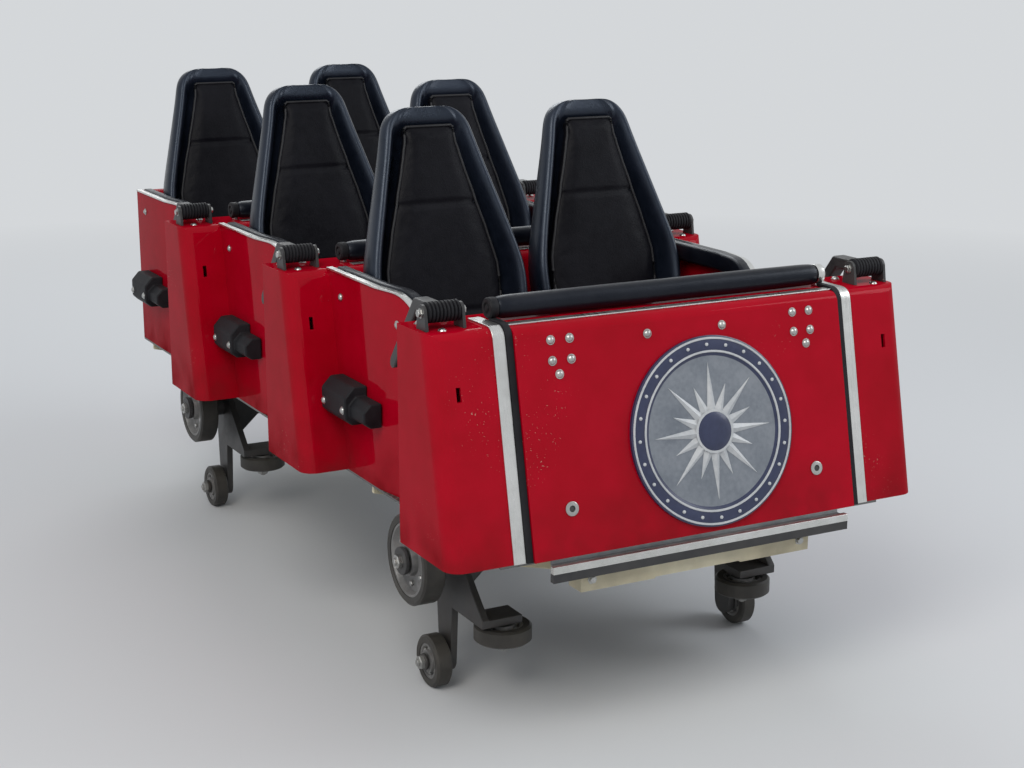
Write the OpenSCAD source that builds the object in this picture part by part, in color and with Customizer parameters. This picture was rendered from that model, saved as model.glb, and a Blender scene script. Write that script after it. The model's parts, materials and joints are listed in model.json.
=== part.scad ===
// Roller coaster car with three rows of two seats, in millimetres.
// The nose points to -Y, the car's right side is at -X, and Z = 0 is the floor under the lowest wheels.

/* [Body] */
// Width over the wings of the row mouldings
wing_w = 1360; // [1320:5:1420]
// Width of the tub between the wings
tub_w = 1100; // [1080:5:1140]
// Width of the flat nose panel between the straps
panel_w = 970; // [930:5:990]
// Distance from one row to the next
row_pitch = 900; // [890:5:930]
// Depth of a row moulding, front to back
wing_d = 165; // [155:5:180]
// Height of a row moulding
panel_h = 540; // [520:5:550]
// How far the foot of a row moulding stands ahead of its top
rake = 110; // [90:5:120]
// Wall of the moulded panels
skin = 8; // [6:1:10]
// Radius of the front lip of a row moulding
lip_r = 30; // [20:2:40]
// Radius of a wing's upright front corner
corner_r = 42; // [30:2:50]
// Length of a side wall ahead of the row behind it
side_len = 540; // [500:5:545]
// Radius of the entry corner of a side wall
entry_r = 140; // [120:5:160]
// How far the front edge of a side wall stands inwards
toe_in = 36; // [24:2:40]
// Height of the door sill above the floor pan
sill_h = 120; // [90:5:140]
// Width of the nose straps
strap_w = 32; // [24:1:40]
// Thickness of the nose straps
strap_t = 4; // [3:1:6]
// How far the nose panel stands out between the straps
nose_t = 14; // [8:1:16]
// Diameter of the round plate on the nose
medal_d = 470; // [420:5:480]
// Diameter of the padded roll on each dash
roll_d = 58; // [50:1:64]

/* [Seats] */
// Distance between the middles of the two seats
seat_pitch = 510; // [500:2:520]
// Width of a seat base and of the foot of its back
seat_w = 430; // [410:5:440]
// Width of a seat back at the shoulders
shoulder_w = 480; // [460:5:490]
// Width of a seat back at its head
head_w = 280; // [260:5:300]
// Height of a seat back along its slope
back_h = 870; // [850:5:890]
// Lean of a seat back, in degrees
back_lean = 13; // [11:1:14]
// Depth of the side bolsters
bolster_d = 115; // [100:5:125]
// Thickness of the seat shell
shell_t = 24; // [18:1:30]
// Height of the seat frame above the floor pan
seat_rise = 150; // [140:5:170]
// Thickness of a seat cushion
cushion_t = 60; // [50:2:70]
// Length of a seat base, from its front to the foot of the back
cushion_l = 460; // [440:5:475]

/* [Lap bars] */
// Reach of a lap bar behind its pivot
arm_l = 240; // [230:2:242]
// How far the bar across the lap lies below its pivot
arm_drop = 170; // [150:5:175]
// Width of the arm
arm_w = 40; // [32:2:44]
// Thickness of the arm
arm_t = 30; // [26:1:32]
// Diameter of the boss round the pivot
boss_d = 50; // [44:1:54]
// Width of the boss round the pivot
boss_w = 84; // [76:2:90]
// Diameter of the bar across the lap
lap_d = 54; // [46:1:60]
// Diameter of the pivot pin
pivot_d = 20; // [16:1:22]

/* [Running gear] */
// Diameter of a road wheel
road_d = 240; // [230:2:244]
// Width of a road wheel's tread
road_w = 60; // [50:2:64]
// Distance between the middles of the rails
gauge = 1060; // [1050:2:1066]
// Width of the rail
rail_w = 150; // [140:2:156]
// Depth of the rail between the road and the upstop wheels
rail_depth = 92; // [86:2:98]
// Diameter of a guide wheel
guide_d = 150; // [140:2:156]
// Width of a guide wheel's tread
guide_w = 44; // [36:2:48]
// Diameter of an upstop wheel
upstop_d = 140; // [130:2:146]
// Width of an upstop wheel's tread
upstop_w = 44; // [36:2:48]
// Running gap between a wheel and the rail
rail_gap = 8; // [6:1:10]
// Diameter of the road wheel stubs
stub_d = 50; // [44:1:56]
// Diameter of the guide and upstop pins
pin_d = 30; // [26:1:34]
// Distance between the axles
wheelbase = 1760; // [1720:10:1800]
// Bore of the coupling eye
eye_bore = 32; // [26:1:36]
// Side of the square drawbar
draw_t = 60; // [50:2:64]

/* [Hidden] */

// Number of rows, and the columns of a side: its sign on X
rows = 3;
sides = [-1, 1];
$fn = 48;
eps = 1;
// Running clearance of a wheel on its stub or pin, all round
bore_gap = 0.1;
// Gap between pieces that seat on each other on different bodies
seat_gap = 0.3;

// Levels
rail_z = upstop_d + rail_gap + rail_depth;
pan_t = 6;
// Gap between the top of a road wheel and the floor pan
wheel_gap = 14;
foot_z = rail_z + road_d + wheel_gap + pan_t;
dash_z = foot_z + panel_h;
axle_z = rail_z + road_d / 2;
guide_z = rail_z - rail_depth / 2;
upstop_z = upstop_d / 2;
beam = 80;
frame_z = axle_z + beam / 2;
frame_top = foot_z - pan_t;
frame_h = frame_top - frame_z;

// Lengths along the car: the front bar leads and the drawbar's eye ends it
bar_out = 36;
eye_r = 46;
draw_out = 330;
tail_d = 46;
body_l = rows * row_pitch + tail_d;
total_l = rake + bar_out + body_l + draw_out + eye_r;
nose_y = rake + bar_out - total_l / 2;
tail_y = nose_y + rows * row_pitch;
eye_y = total_l / 2 - eye_r;
// The front axle stands this far behind the nose
axle_in = 400;
axle_front_y = nose_y + axle_in;
axle_rear_y = axle_front_y + wheelbase;

rake_a = atan(rake / panel_h);
wing_x = wing_w / 2;
tub_x = tub_w / 2;
panel_x = panel_w / 2;
// Middle of a wing, outside the tub
wing_mid = (tub_x + wing_x) / 2;

// Front plane of a row at the dash top
function row_y(row) = nose_y + row * row_pitch;

// Points of an arc, from angle a0 to a1
function arc(c, r, a0, a1, n) =
  [for (i = [0:n]) [c[0] + r * cos(a0 + (a1 - a0) * i / n), c[1] + r * sin(a0 + (a1 - a0) * i / n)]];

function reversed(p) = [for (i = [len(p) - 1:-1:0]) p[i]];

// Line of a row moulding from its deck over the lip to its foot, moved inwards by e.
// Y is measured from the row's plane, Z from the dash top.
lip_y = lip_r * (1 - sin(rake_a)) / cos(rake_a);
function lip_path(e, foot) = concat(
  arc([lip_y, -lip_r], lip_r - e, 90, 180 - rake_a, 8),
  [[foot * tan(rake_a) + e / cos(rake_a), foot]]
);
function face_path(e, back, foot) = concat([[back, -e]], lip_path(e, foot));

// Side outline of a row moulding, moved inwards by e
function fairing_outline(e, back, foot) = concat([[back, foot]], face_path(e, back, foot));

module across(x0, x1) {
  translate([x0, 0, 0]) rotate([90, 0, 90]) linear_extrude(x1 - x0) children();
}

module along(y0, y1) {
  translate([0, y1, 0]) rotate([90, 0, 0]) linear_extrude(y1 - y0) children();
}

module block(x, y, z) {
  translate([x[0], y[0], z[0]]) cube([x[1] - x[0], y[1] - y[0], z[1] - z[0]]);
}

module rod_x(x0, x1, y, z, d) {
  translate([x0, y, z]) rotate([0, 90, 0]) cylinder(h = x1 - x0, d = d);
}

module mirrored() {
  children();
  mirror([1, 0, 0]) children();
}

// Plan outline of a wing, with rounded front corners
module wing_plan(e) {
  w = wing_x - e;
  r = corner_r - e;
  polygon(concat(
    arc([w - r, e + r], r, 0, -90, 8),
    arc([e - w + r, e + r], r, -90, -180, 8),
    [[-w, wing_d * 3], [w, wing_d * 3]]
  ));
}

// Row moulding as a solid, moved inwards by e, down to foot
module fairing_solid(e, back, foot) {
  intersection() {
    across(-wing_x + e, wing_x - e) polygon(fairing_outline(e, back, foot));
    rotate([-rake_a, 0, 0]) translate([0, 0, -panel_h * 2]) linear_extrude(panel_h * 3) wing_plan(e);
  }
}

// Point s down the raked face of a row moulding and e out from it
function raked(s, e) = [-s * sin(rake_a) - e * cos(rake_a), e * sin(rake_a) - s * cos(rake_a)];

// Nose panel: the same face and lip, standing out between the straps
seal_w = 18;
nose_out = nose_t / cos(rake_a);
module nose_panel() {
  across(seal_w - panel_x, panel_x - seal_w) translate([-nose_out, 0])
    polygon(fairing_outline(0, lip_y + nose_out, -panel_h));
}

// Slot through the front of each wing
slot_drop = 140;
slot_w = 12;
slot_h = 34;
module wing_slots() {
  mirrored() translate([wing_mid, -slot_drop * tan(rake_a), -slot_drop])
    block([-slot_w / 2, slot_w / 2], [-lip_r, skin * 2], [-slot_h / 2, slot_h / 2]);
}

module row_fairing(row) {
  color([0.72, 0.02, 0.1]) translate([0, row_y(row), dash_z]) difference() {
    union() {
      fairing_solid(0, wing_d, -panel_h);
      if (row == 0) nose_panel();
    }
    difference() {
      fairing_solid(skin, wing_d - skin, -panel_h - eps);
      block([-tub_x, tub_x], [-rake * 2, wing_d], [-panel_h * 2, 0]);
    }
    across(-tub_x + skin, tub_x - skin) polygon(fairing_outline(skin, wing_d + eps, -panel_h - eps));
    wing_slots();
  }
}

module row_fairing_1() { row_fairing(0); }
module row_fairing_2() { row_fairing(1); }
module row_fairing_3() { row_fairing(2); }

// Outline of a side wall: a low sill, a rounded entry corner and a level top.
// It ends on the raked face and the lip of the row behind it.
wall_y = row_pitch - side_len;
function entry_arc(r) = arc([wall_y + entry_r, -entry_r], r, 180, 90, 12);
wall_outline = concat(
  [[wing_d, -panel_h], [wing_d, sill_h - panel_h], [wall_y, sill_h - panel_h]],
  entry_arc(entry_r),
  [for (p = lip_path(0, -panel_h)) [p[0] + row_pitch, p[1]]]
);

// Strip in plan that a side wall follows: straight beside the seat, then inwards to its front edge.
// It lies between the lines a and b outside the wall's face.
bend_y = 580;
module wall_strip(side, a, b) {
  end = row_pitch + lip_r;
  plan = [
    [b, end], [b, bend_y], [b - toe_in, wall_y], [b - toe_in, 0],
    [a - toe_in, 0], [a - toe_in, wall_y], [a, bend_y], [a, end]
  ];
  intersection() {
    translate([0, 0, -panel_h * 2]) linear_extrude(panel_h * 3)
      polygon([for (p = plan) [side * (tub_x + p[0]), p[1]]]);
    across(-wing_x, wing_x) children();
  }
}

module side_walls(side) {
  color([0.72, 0.02, 0.1])
    for (row = [0:rows - 1])
      translate([0, row_y(row), dash_z]) wall_strip(side, -skin, 0) polygon(wall_outline);
}

module side_walls_right() { side_walls(-1); }
module side_walls_left() { side_walls(1); }

// Bright edge along the top and the entry corner of each side wall
trim_t = 6;
trim_out = 5;
module side_trims() {
  rim = concat([[wall_y, sill_h - panel_h]], entry_arc(entry_r), [[row_pitch + 4, 0]]);
  outer = concat(
    [[wall_y - trim_t, sill_h - panel_h]], entry_arc(entry_r + trim_t), [[row_pitch + 4, trim_t]]
  );
  color([0.78, 0.79, 0.8])
    for (row = [0:rows - 1], side = sides)
      translate([0, row_y(row), dash_z])
        wall_strip(side, -skin - trim_out, trim_out) polygon(concat(outer, reversed(rim)));
}

// Black pad inside the top edge of each side wall, level with the bright edge
pad_w = 26;
pad_h = 40;
pad_up = 4;
module edge_pads() {
  low = -entry_r * 1.6;
  end = row_pitch - 30;
  rim = concat([[wall_y - pad_up, low]], entry_arc(entry_r + pad_up), [[end, pad_up]]);
  inner = concat(
    [[wall_y - pad_up + pad_h, low]], entry_arc(entry_r + pad_up - pad_h), [[end, pad_up - pad_h]]
  );
  b = -skin - trim_out - seat_gap;
  color([0.05, 0.05, 0.06])
    for (row = [0:rows - 1], side = sides)
      translate([0, row_y(row), dash_z])
        wall_strip(side, b - pad_w, b) polygon(concat(inner, reversed(rim)));
}

// Black step block on each side wall, just ahead of the wing behind it.
// Its rear part is the taller, and its lower front part ends in a chamfer.
step_rear = 190;
step_front = 110;
step_w = 66;
step_top = 256;
step_h = 130;
step_gap = 10;
module step_blocks() {
  end = row_pitch - step_gap - (step_top + step_h) * tan(rake_a);
  rear = [[0, 0], [step_w * 0.7, 0], [step_w, 24], [step_w, step_h - 36], [step_w * 0.6, step_h], [0, step_h]];
  low = step_h - 34;
  front = [[0, 14], [step_w * 0.5, 14], [step_w * 0.8, 34], [step_w * 0.8, low - 26], [step_w * 0.5, low], [0, low]];
  color([0.06, 0.06, 0.07])
    for (row = [0:rows - 1])
      mirrored() translate([tub_x, row_y(row), dash_z - step_top - step_h]) {
        along(end - step_rear, end) polygon(rear);
        along(end - step_rear - step_front, end - step_rear) polygon(front);
      }
}

// Tail panel with a rolled top and rounded upright corners, on the ends of the last side walls
tail_r = 20;
tail_corner = 36;
function tail_corners(e) =
  let (x = tub_x - tail_corner, y = tail_d - tail_corner, r = tail_corner - e)
  concat(arc([x, y], r, 0, 90, 8), arc([-x, y], r, 90, 180, 8));
module tail_shell(e, foot) {
  w = tub_x - e;
  intersection() {
    across(-w, w) polygon(concat(
      [[tail_d - e, foot], [tail_d - e, -tail_r]],
      arc([tail_d - tail_r, -tail_r], tail_r - e, 0, 90, 6),
      lip_path(e, foot)
    ));
    translate([0, 0, -panel_h * 2]) linear_extrude(panel_h * 3)
      polygon(concat([[-w, -panel_h], [w, -panel_h]], tail_corners(e)));
  }
}
module tail_panel() {
  color([0.72, 0.02, 0.1]) translate([0, tail_y, dash_z]) difference() {
    tail_shell(0, -panel_h);
    tail_shell(skin, -panel_h - eps);
  }
}

module floor_pan() {
  y0 = nose_y - rake;
  color([0.3, 0.31, 0.32]) translate([0, 0, frame_top]) linear_extrude(pan_t)
    polygon(concat([[-tub_x, y0], [tub_x, y0]], [for (p = tail_corners(0)) [p[0], tail_y + p[1]]]));
}

// Two straps over the nose, and a strip on each dash ahead of its roll
strap_back = 120;
strip_w = 26;
module nose_trim() {
  strap = concat(
    face_path(-strap_t, strap_back, -panel_h), reversed(face_path(0, strap_back, -panel_h))
  );
  color([0.85, 0.85, 0.82]) {
    translate([0, nose_y, dash_z]) mirrored() across(panel_x, panel_x + strap_w) polygon(strap);
    for (row = [0:rows - 1])
      translate([0, row_y(row) + lip_y - (row == 0 ? nose_out : 0), dash_z])
        block([seal_w - panel_x, panel_x - seal_w], [0, strip_w], [0, strap_t]);
  }
}

// Padded roll on each dash with a bright cap and foot at each end
roll_y = 84;
roll_x = panel_x - 30;
cap_t = 14;
foot_w = 24;
module dash_rolls() {
  for (row = [0:rows - 1])
    translate([0, row_y(row) + roll_y, dash_z + roll_d / 2]) {
      color([0.05, 0.05, 0.07]) rod_x(-roll_x, roll_x, 0, 0, roll_d - 2 * seat_gap);
      color([0.8, 0.8, 0.8]) mirrored() {
        rod_x(roll_x, roll_x + cap_t, 0, 0, roll_d * 0.8);
        block([roll_x, roll_x + cap_t], [-foot_w / 2, foot_w / 2], [-roll_d / 2, 0]);
      }
    }
}

// Round plate with a raised rim on the nose, where the emblem is
medal_x = 52;
medal_rise = 238;
medal_t = 6;
rim_w = 42;
rim_t = 4;
module medallion() {
  r = medal_d / 2;
  s = (panel_h - medal_rise) / cos(rake_a);
  at = raked(s, nose_t);
  color([0.5, 0.52, 0.56])
    translate([medal_x, nose_y + at[0], dash_z + at[1]]) rotate([90 - rake_a, 0, 0])
      rotate_extrude($fn = 96) polygon([
        [0, 0], [r, 0], [r, medal_t], [r - rim_t, medal_t + rim_t], [r - rim_w, medal_t + rim_t],
        [r - rim_w - rim_t, medal_t], [0, medal_t]
      ]);
}

// Console between the two seats
console_gap = 6;
console_w = seat_pitch - seat_w - 2 * console_gap;
console_l = 300;
console_h = 330;
module consoles() {
  front_r = 90;
  rear_r = 40;
  outline = concat(
    [[0, 0], [console_l, 0]],
    arc([console_l - rear_r, console_h - rear_r], rear_r, 0, 90, 6),
    arc([front_r, console_h - front_r], front_r, 90, 180, 8)
  );
  color([0.62, 0.63, 0.66])
    for (row = [0:rows - 1])
      translate([0, row_y(row) + base_y, foot_z])
        across(-console_w / 2, console_w / 2) polygon(outline);
}

// Front outline of a seat back from its height foot upwards, moved inwards by e:
// widest at the shoulders, then narrowing to a rounded head
shoulder_s = back_h * 0.46;
head_r = head_w * 0.29;
function back_outline(e, foot) =
  let (
    low = seat_w / 2 - e,
    wide = shoulder_w / 2 - e,
    high = head_w / 2 - e,
    top = back_h - e,
    r = head_r - e / 2
  )
  concat(
    [[-low, foot], [low, foot], [wide, shoulder_s * 0.9], [wide - 2, shoulder_s + 30]],
    arc([high - r, top - r], r, 0, 90, 8),
    arc([r - high, top - r], r, 90, 180, 8),
    [[2 - wide, shoulder_s + 30], [-wide, shoulder_s * 0.9]]
  );

seat_z = foot_z + seat_rise;
back_in = 146;
back_y = row_pitch - back_in;
back_sink = 40;
base_y = back_y - cushion_l;
head_d = 70;
base_end = back_y - bolster_d + back_sink;

// Front face of the back's shell at height z above the back's foot, from the back's foot
function back_face(z) = z * tan(back_lean) - shell_t / cos(back_lean);

// Places its children in a seat back: Z up along its slope, Y = 0 on its rear face
module on_back() {
  translate([0, back_y, seat_z - back_sink]) rotate([-back_lean, 0, 0]) children();
}

// Seat: a leaning bucket back with side bolsters, and a base with raised sides
toe_room = 50;
toe_rise = 70;
module seat_shell() {
  inner = seat_w / 2 - shell_t;
  side = [
    [0, -eps], [0, back_h + eps], [-head_d, back_h + eps], [-head_d, back_h - head_r],
    [-bolster_d, shoulder_s], [-bolster_d, -eps]
  ];
  on_back() difference() {
    intersection() {
      along(-bolster_d, 0) polygon(back_outline(0, 0));
      across(-shoulder_w, shoulder_w) polygon(side);
    }
    along(-bolster_d - eps, -shell_t) polygon(back_outline(shell_t, -eps));
  }
  difference() {
    block([-seat_w / 2, seat_w / 2], [base_y, base_end], [foot_z, seat_z + cushion_t]);
    block([-inner, inner], [base_y - eps, base_end + eps], [seat_z, seat_z + cushion_t + eps]);
    block([-seat_w, seat_w], [base_y - eps, base_y + toe_room], [foot_z - eps, foot_z + toe_rise]);
  }
}
module seat_shells(row) {
  color([0.07, 0.07, 0.09])
    for (side = sides)
      translate([side * seat_pitch / 2, row_y(row), 0]) seat_shell();
}

module seat_shells_1() { seat_shells(0); }
module seat_shells_2() { seat_shells(1); }
module seat_shells_3() { seat_shells(2); }

// Cushion on each seat base and pad in each seat back
pad_t = 46;
module seat_cushions() {
  x = seat_w / 2 - shell_t - seat_gap;
  low = back_y + back_face(back_sink) - 1;
  high = back_y + back_face(back_sink + cushion_t) - 1;
  front = base_y + 8;
  outline = [
    [front, seat_gap], [low, seat_gap], [high, cushion_t], [front + 30, cushion_t], [front, cushion_t - 20]
  ];
  pad_foot = back_sink + cushion_t + 12;
  color([0.1, 0.1, 0.12])
    for (row = [0:rows - 1], side = sides)
      translate([side * seat_pitch / 2, row_y(row), 0]) {
        translate([0, 0, seat_z]) across(-x, x) polygon(outline);
        on_back() along(-shell_t - pad_t, -shell_t - seat_gap)
          polygon(back_outline(shell_t + seat_gap, pad_foot));
      }
}

// Brackets on the wing tops that carry the lap bars' pins
pivot_y = 60;
pivot_z = 40;
cheek_t = 8;
cheek_gap = 2;
cheek_l = 26;
cheek_r = 20;
module lap_brackets() {
  plate = concat(
    [[pivot_y - cheek_l, 0], [pivot_y + cheek_l, 0]], arc([pivot_y, pivot_z], cheek_r, 0, 180, 12)
  );
  x = boss_w / 2 + cheek_gap;
  color([0.8, 0.8, 0.8])
    for (row = [0:rows - 1])
      translate([0, row_y(row), dash_z]) mirrored() translate([wing_mid, 0, 0]) {
        across(x, x + cheek_t) polygon(plate);
        across(-x - cheek_t, -x) polygon(plate);
        rod_x(-x - cheek_t, x + cheek_t, pivot_y, pivot_z, pivot_d);
      }
}

// Side outline of a lap bar's arm: level over the wing, then cranked down behind it
lap_in = 90;
crank_y = 104;
function arm_outline() =
  let (
    fall = atan(arm_drop / (arm_l - crank_y)),
    h = arm_t / 2,
    knee = h * tan(fall / 2)
  )
  [
    [0, h], [crank_y + knee, h], [arm_l + h * sin(fall), h * cos(fall) - arm_drop],
    [arm_l - h * sin(fall), -h * cos(fall) - arm_drop], [crank_y - knee, -h], [0, -h]
  ];

// Lap bar: the arm with its pivot boss and the padded bar across the lap
module lap_bar(row, side) {
  reach = wing_mid - lap_in;
  color([0.06, 0.06, 0.07])
    translate([side * wing_mid, row_y(row) + pivot_y, dash_z + pivot_z]) {
      difference() {
        union() {
          rod_x(-boss_w / 2, boss_w / 2, 0, 0, boss_d);
          across(-arm_w / 2, arm_w / 2) polygon(arm_outline());
        }
        rod_x(-boss_w, boss_w, 0, 0, pivot_d + 2 * bore_gap);
      }
      rod_x(side > 0 ? -reach : -arm_w / 2, side > 0 ? arm_w / 2 : reach, arm_l, -arm_drop, lap_d);
    }
}

module lap_bar_1_right() { lap_bar(0, -1); }
module lap_bar_1_left() { lap_bar(0, 1); }
module lap_bar_2_right() { lap_bar(1, -1); }
module lap_bar_2_left() { lap_bar(1, 1); }
module lap_bar_3_right() { lap_bar(2, -1); }
module lap_bar_3_left() { lap_bar(2, 1); }

// Chassis: two deep side members with boxed ends, cross members, and outriggers under the pan
member_x = 230;
member_w = 110;
box_l = 120;
buffer_w = 210;
buffer_d = 60;
cross_w = 70;
cross_in = 60;
rigger_t = 12;
rigger_end = 24;
web = 8;
// Underside of the cross members, which run into the side members
cross_z = frame_z + web / 2;
module chassis_frame() {
  y0 = nose_y - rake;
  y1 = tail_y + tail_d;
  mid = (axle_front_y + axle_rear_y) / 2;
  z1 = frame_top;
  low = frame_z + web;
  inner = member_x - member_w / 2;
  outer = member_x + member_w / 2;
  rigger = [[outer - eps, z1], [outer - eps, low], [tub_x - skin, z1 - rigger_end], [tub_x - skin, z1]];
  color([0.86, 0.8, 0.6]) {
    mirrored() difference() {
      block([inner, outer], [y0, y1], [frame_z, z1]);
      block([inner - eps, outer - web], [y0 + box_l, y1 - box_l], [low, z1 - web]);
    }
    mirrored() block([member_x - buffer_w / 2, member_x + buffer_w / 2], [y0, y0 + buffer_d], [frame_z, z1]);
    for (y = [y0, axle_front_y - cross_in, mid, axle_rear_y - cross_in, y1 - cross_w])
      block([web - outer - eps, outer - web + eps], [y, y + cross_w], [cross_z, z1]);
    block([-draw_t, draw_t], [axle_rear_y, y1], [low, z1]);
    mirrored() for (y = [y0 + box_l, axle_front_y + road_d, mid, axle_rear_y - road_d, y1 - box_l])
      along(y, y + rigger_t) polygon(rigger);
  }
}

// Wheel carrier at each end of an axle
carrier_t = 20;
carrier_gap = 4;
carrier_x = gauge / 2 - rail_w / 2 - carrier_t - carrier_gap;
guide_x = gauge / 2 - rail_w / 2 - rail_gap - guide_d / 2;
guide_y = 180;
arm_gap = 8;
arm_z = guide_z + guide_w / 2 + arm_gap;
plate_t = 22;
plate_l = 40;
plate_in = 36;
collar_t = 12;
collar_w = 12;
gusset_t = 16;
gusset_l = 120;
gusset_h = 110;
module carrier() {
  leg = concat(
    arc([0, upstop_z], 34, 180, 360, 12),
    [[46, rail_z], [60, axle_z + beam / 2], [-60, axle_z + beam / 2],
      [-guide_y - plate_l, arm_z + plate_t], [-guide_y - plate_l, arm_z], [-46, arm_z]]
  );
  road_in = gauge / 2 - road_w / 2;
  road_out = gauge / 2 + road_w / 2;
  upstop_out = upstop_x + upstop_w / 2;
  nut_z = guide_z - guide_w / 2;
  across(carrier_x, carrier_x + carrier_t) polygon(leg);
  rod_x(carrier_x, road_out + 4 + collar_t, 0, axle_z, stub_d);
  rod_x(road_out + 4, road_out + 4 + collar_t, 0, axle_z, stub_d + 2 * collar_w);
  rod_x(carrier_x + carrier_t, road_in - 4, 0, axle_z, stub_d + 2 * collar_w);
  rod_x(carrier_x, upstop_out + 4 + arm_gap, 0, upstop_z, pin_d);
  rod_x(upstop_out + 4, upstop_out + 4 + arm_gap, 0, upstop_z, pin_d + 16);
  block([guide_x - plate_in, carrier_x + carrier_t], [-guide_y - plate_l, plate_l - guide_y], [arm_z, arm_z + plate_t]);
  translate([guide_x, -guide_y, nut_z - collar_t]) cylinder(h = arm_z - nut_z + collar_t + plate_t / 2, d = pin_d);
  translate([guide_x, -guide_y, nut_z - collar_t]) cylinder(h = arm_gap, d = pin_d + 16);
  along(-gusset_t / 2, gusset_t / 2) polygon([
    [carrier_x, axle_z - beam / 2 + eps], [carrier_x + eps, axle_z - beam / 2 - gusset_h],
    [carrier_x - gusset_l, axle_z - beam / 2 + eps]
  ]);
}

upstop_x = carrier_x + carrier_t + 8 + upstop_w / 2;

module axle(y) {
  color([0.2, 0.2, 0.21]) translate([0, y, 0]) {
    block([-carrier_x, carrier_x], [-beam / 2, beam / 2], [axle_z - beam / 2, axle_z + beam / 2]);
    mirrored() carrier();
  }
}

module front_axle() { axle(axle_front_y); }
module rear_axle() { axle(axle_rear_y); }

// Spoked wheel about Z: hub, web and tread, with a bore
module wheel(d, w, bore) {
  hub = bore / 2 + 16;
  rim = d / 2 - 26;
  rotate_extrude($fn = 64) polygon([
    [bore / 2 + bore_gap, -w / 2], [hub, -w / 2], [hub, -w * 0.22], [rim - 8, -w * 0.22], [rim, -w / 2 + 3],
    [d / 2 - 5, -w / 2], [d / 2, -w / 2 + 6], [d / 2, w / 2 - 6], [d / 2 - 5, w / 2], [rim, w / 2 - 3],
    [rim - 8, w * 0.22], [hub, w * 0.22], [hub, w / 2], [bore / 2 + bore_gap, w / 2]
  ]);
}

module road_wheel(side, y) {
  color([0.12, 0.12, 0.13])
    translate([side * gauge / 2, y, axle_z]) rotate([0, 90, 0]) wheel(road_d, road_w, stub_d);
}

module upstop_wheel(side, y) {
  color([0.12, 0.12, 0.13])
    translate([side * upstop_x, y, upstop_z]) rotate([0, 90, 0]) wheel(upstop_d, upstop_w, pin_d);
}

module guide_wheel(side, y) {
  color([0.12, 0.12, 0.13]) translate([side * guide_x, y - guide_y, guide_z]) wheel(guide_d, guide_w, pin_d);
}

module road_wheel_fr() { road_wheel(-1, axle_front_y); }
module road_wheel_fl() { road_wheel(1, axle_front_y); }
module road_wheel_rr() { road_wheel(-1, axle_rear_y); }
module road_wheel_rl() { road_wheel(1, axle_rear_y); }
module guide_wheel_fr() { guide_wheel(-1, axle_front_y); }
module guide_wheel_fl() { guide_wheel(1, axle_front_y); }
module guide_wheel_rr() { guide_wheel(-1, axle_rear_y); }
module guide_wheel_rl() { guide_wheel(1, axle_rear_y); }
module upstop_wheel_fr() { upstop_wheel(-1, axle_front_y); }
module upstop_wheel_fl() { upstop_wheel(1, axle_front_y); }
module upstop_wheel_rr() { upstop_wheel(-1, axle_rear_y); }
module upstop_wheel_rl() { upstop_wheel(1, axle_rear_y); }

// Bright bar across the front of the chassis, under the nose panel
bar_x = 430;
bar_t = 16;
bar_h = 40;
bar_gap = 4;
bar_foot = 20;
module front_bar() {
  y1 = nose_y - rake;
  z1 = frame_top - bar_gap;
  color([0.7, 0.71, 0.72]) {
    block([-bar_x, bar_x], [y1 - bar_out, y1 - bar_out + bar_t], [z1 - bar_h, z1]);
    mirrored()
      block([member_x - bar_foot, member_x + bar_foot], [y1 - bar_out + bar_t, y1], [z1 - bar_h + 6, z1 - 6]);
  }
}

// Drawbar with its eye at the tail, and the plate that bolts it on
flange_w = 140;
flange_h = 90;
flange_t = 14;
module drawbar() {
  z = frame_z + frame_h / 2;
  y0 = tail_y + tail_d;
  color([0.25, 0.25, 0.26]) difference() {
    union() {
      block([-draw_t / 2, draw_t / 2], [y0, eye_y - eye_r / 2], [z - draw_t / 2, z + draw_t / 2]);
      block([-flange_w / 2, flange_w / 2], [y0, y0 + flange_t], [z - flange_h / 2, z + flange_h / 2]);
      translate([0, eye_y, z - draw_t / 2]) cylinder(h = draw_t, r = eye_r);
    }
    translate([0, eye_y, z - draw_t]) cylinder(h = draw_t * 2, d = eye_bore);
  }
}

// Lift chain dog under the middle of the frame: a plate with a hooked tooth
dog_front = 60;
dog_back = 90;
dog_h = 150;
dog_t = 36;
module chain_dog() {
  y = (axle_front_y + axle_rear_y) / 2;
  outline = [
    [-dog_front, 0], [dog_back, 0], [dog_back, -dog_h * 0.4], [dog_h / 5, -dog_h],
    [-dog_h / 5, -dog_h], [-dog_h / 15, -dog_h * 0.47], [-dog_front, -dog_h / 3]
  ];
  color([0.3, 0.3, 0.31]) translate([0, y, cross_z])
    across(-dog_t / 2, dog_t / 2) polygon(outline);
}

// Two long brake fins under the frame, each with a hanger on the side member near its ends
fin_x = 150;
fin_t = 12;
fin_in = 120;
fin_gap = 10;
hanger_l = 50;
hanger_t = 12;
hanger_in = 60;
module brake_fin() {
  y0 = axle_front_y + fin_in;
  y1 = axle_rear_y - fin_in;
  color([0.6, 0.6, 0.62]) mirrored() {
    block([fin_x - fin_t / 2, fin_x + fin_t / 2], [y0, y1], [rail_z + fin_gap, cross_z]);
    for (y = [y0 + hanger_in, y1 - hanger_in - hanger_l])
      block([fin_x, member_x], [y, y + hanger_l], [frame_z - hanger_t, frame_z]);
  }
}

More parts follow.
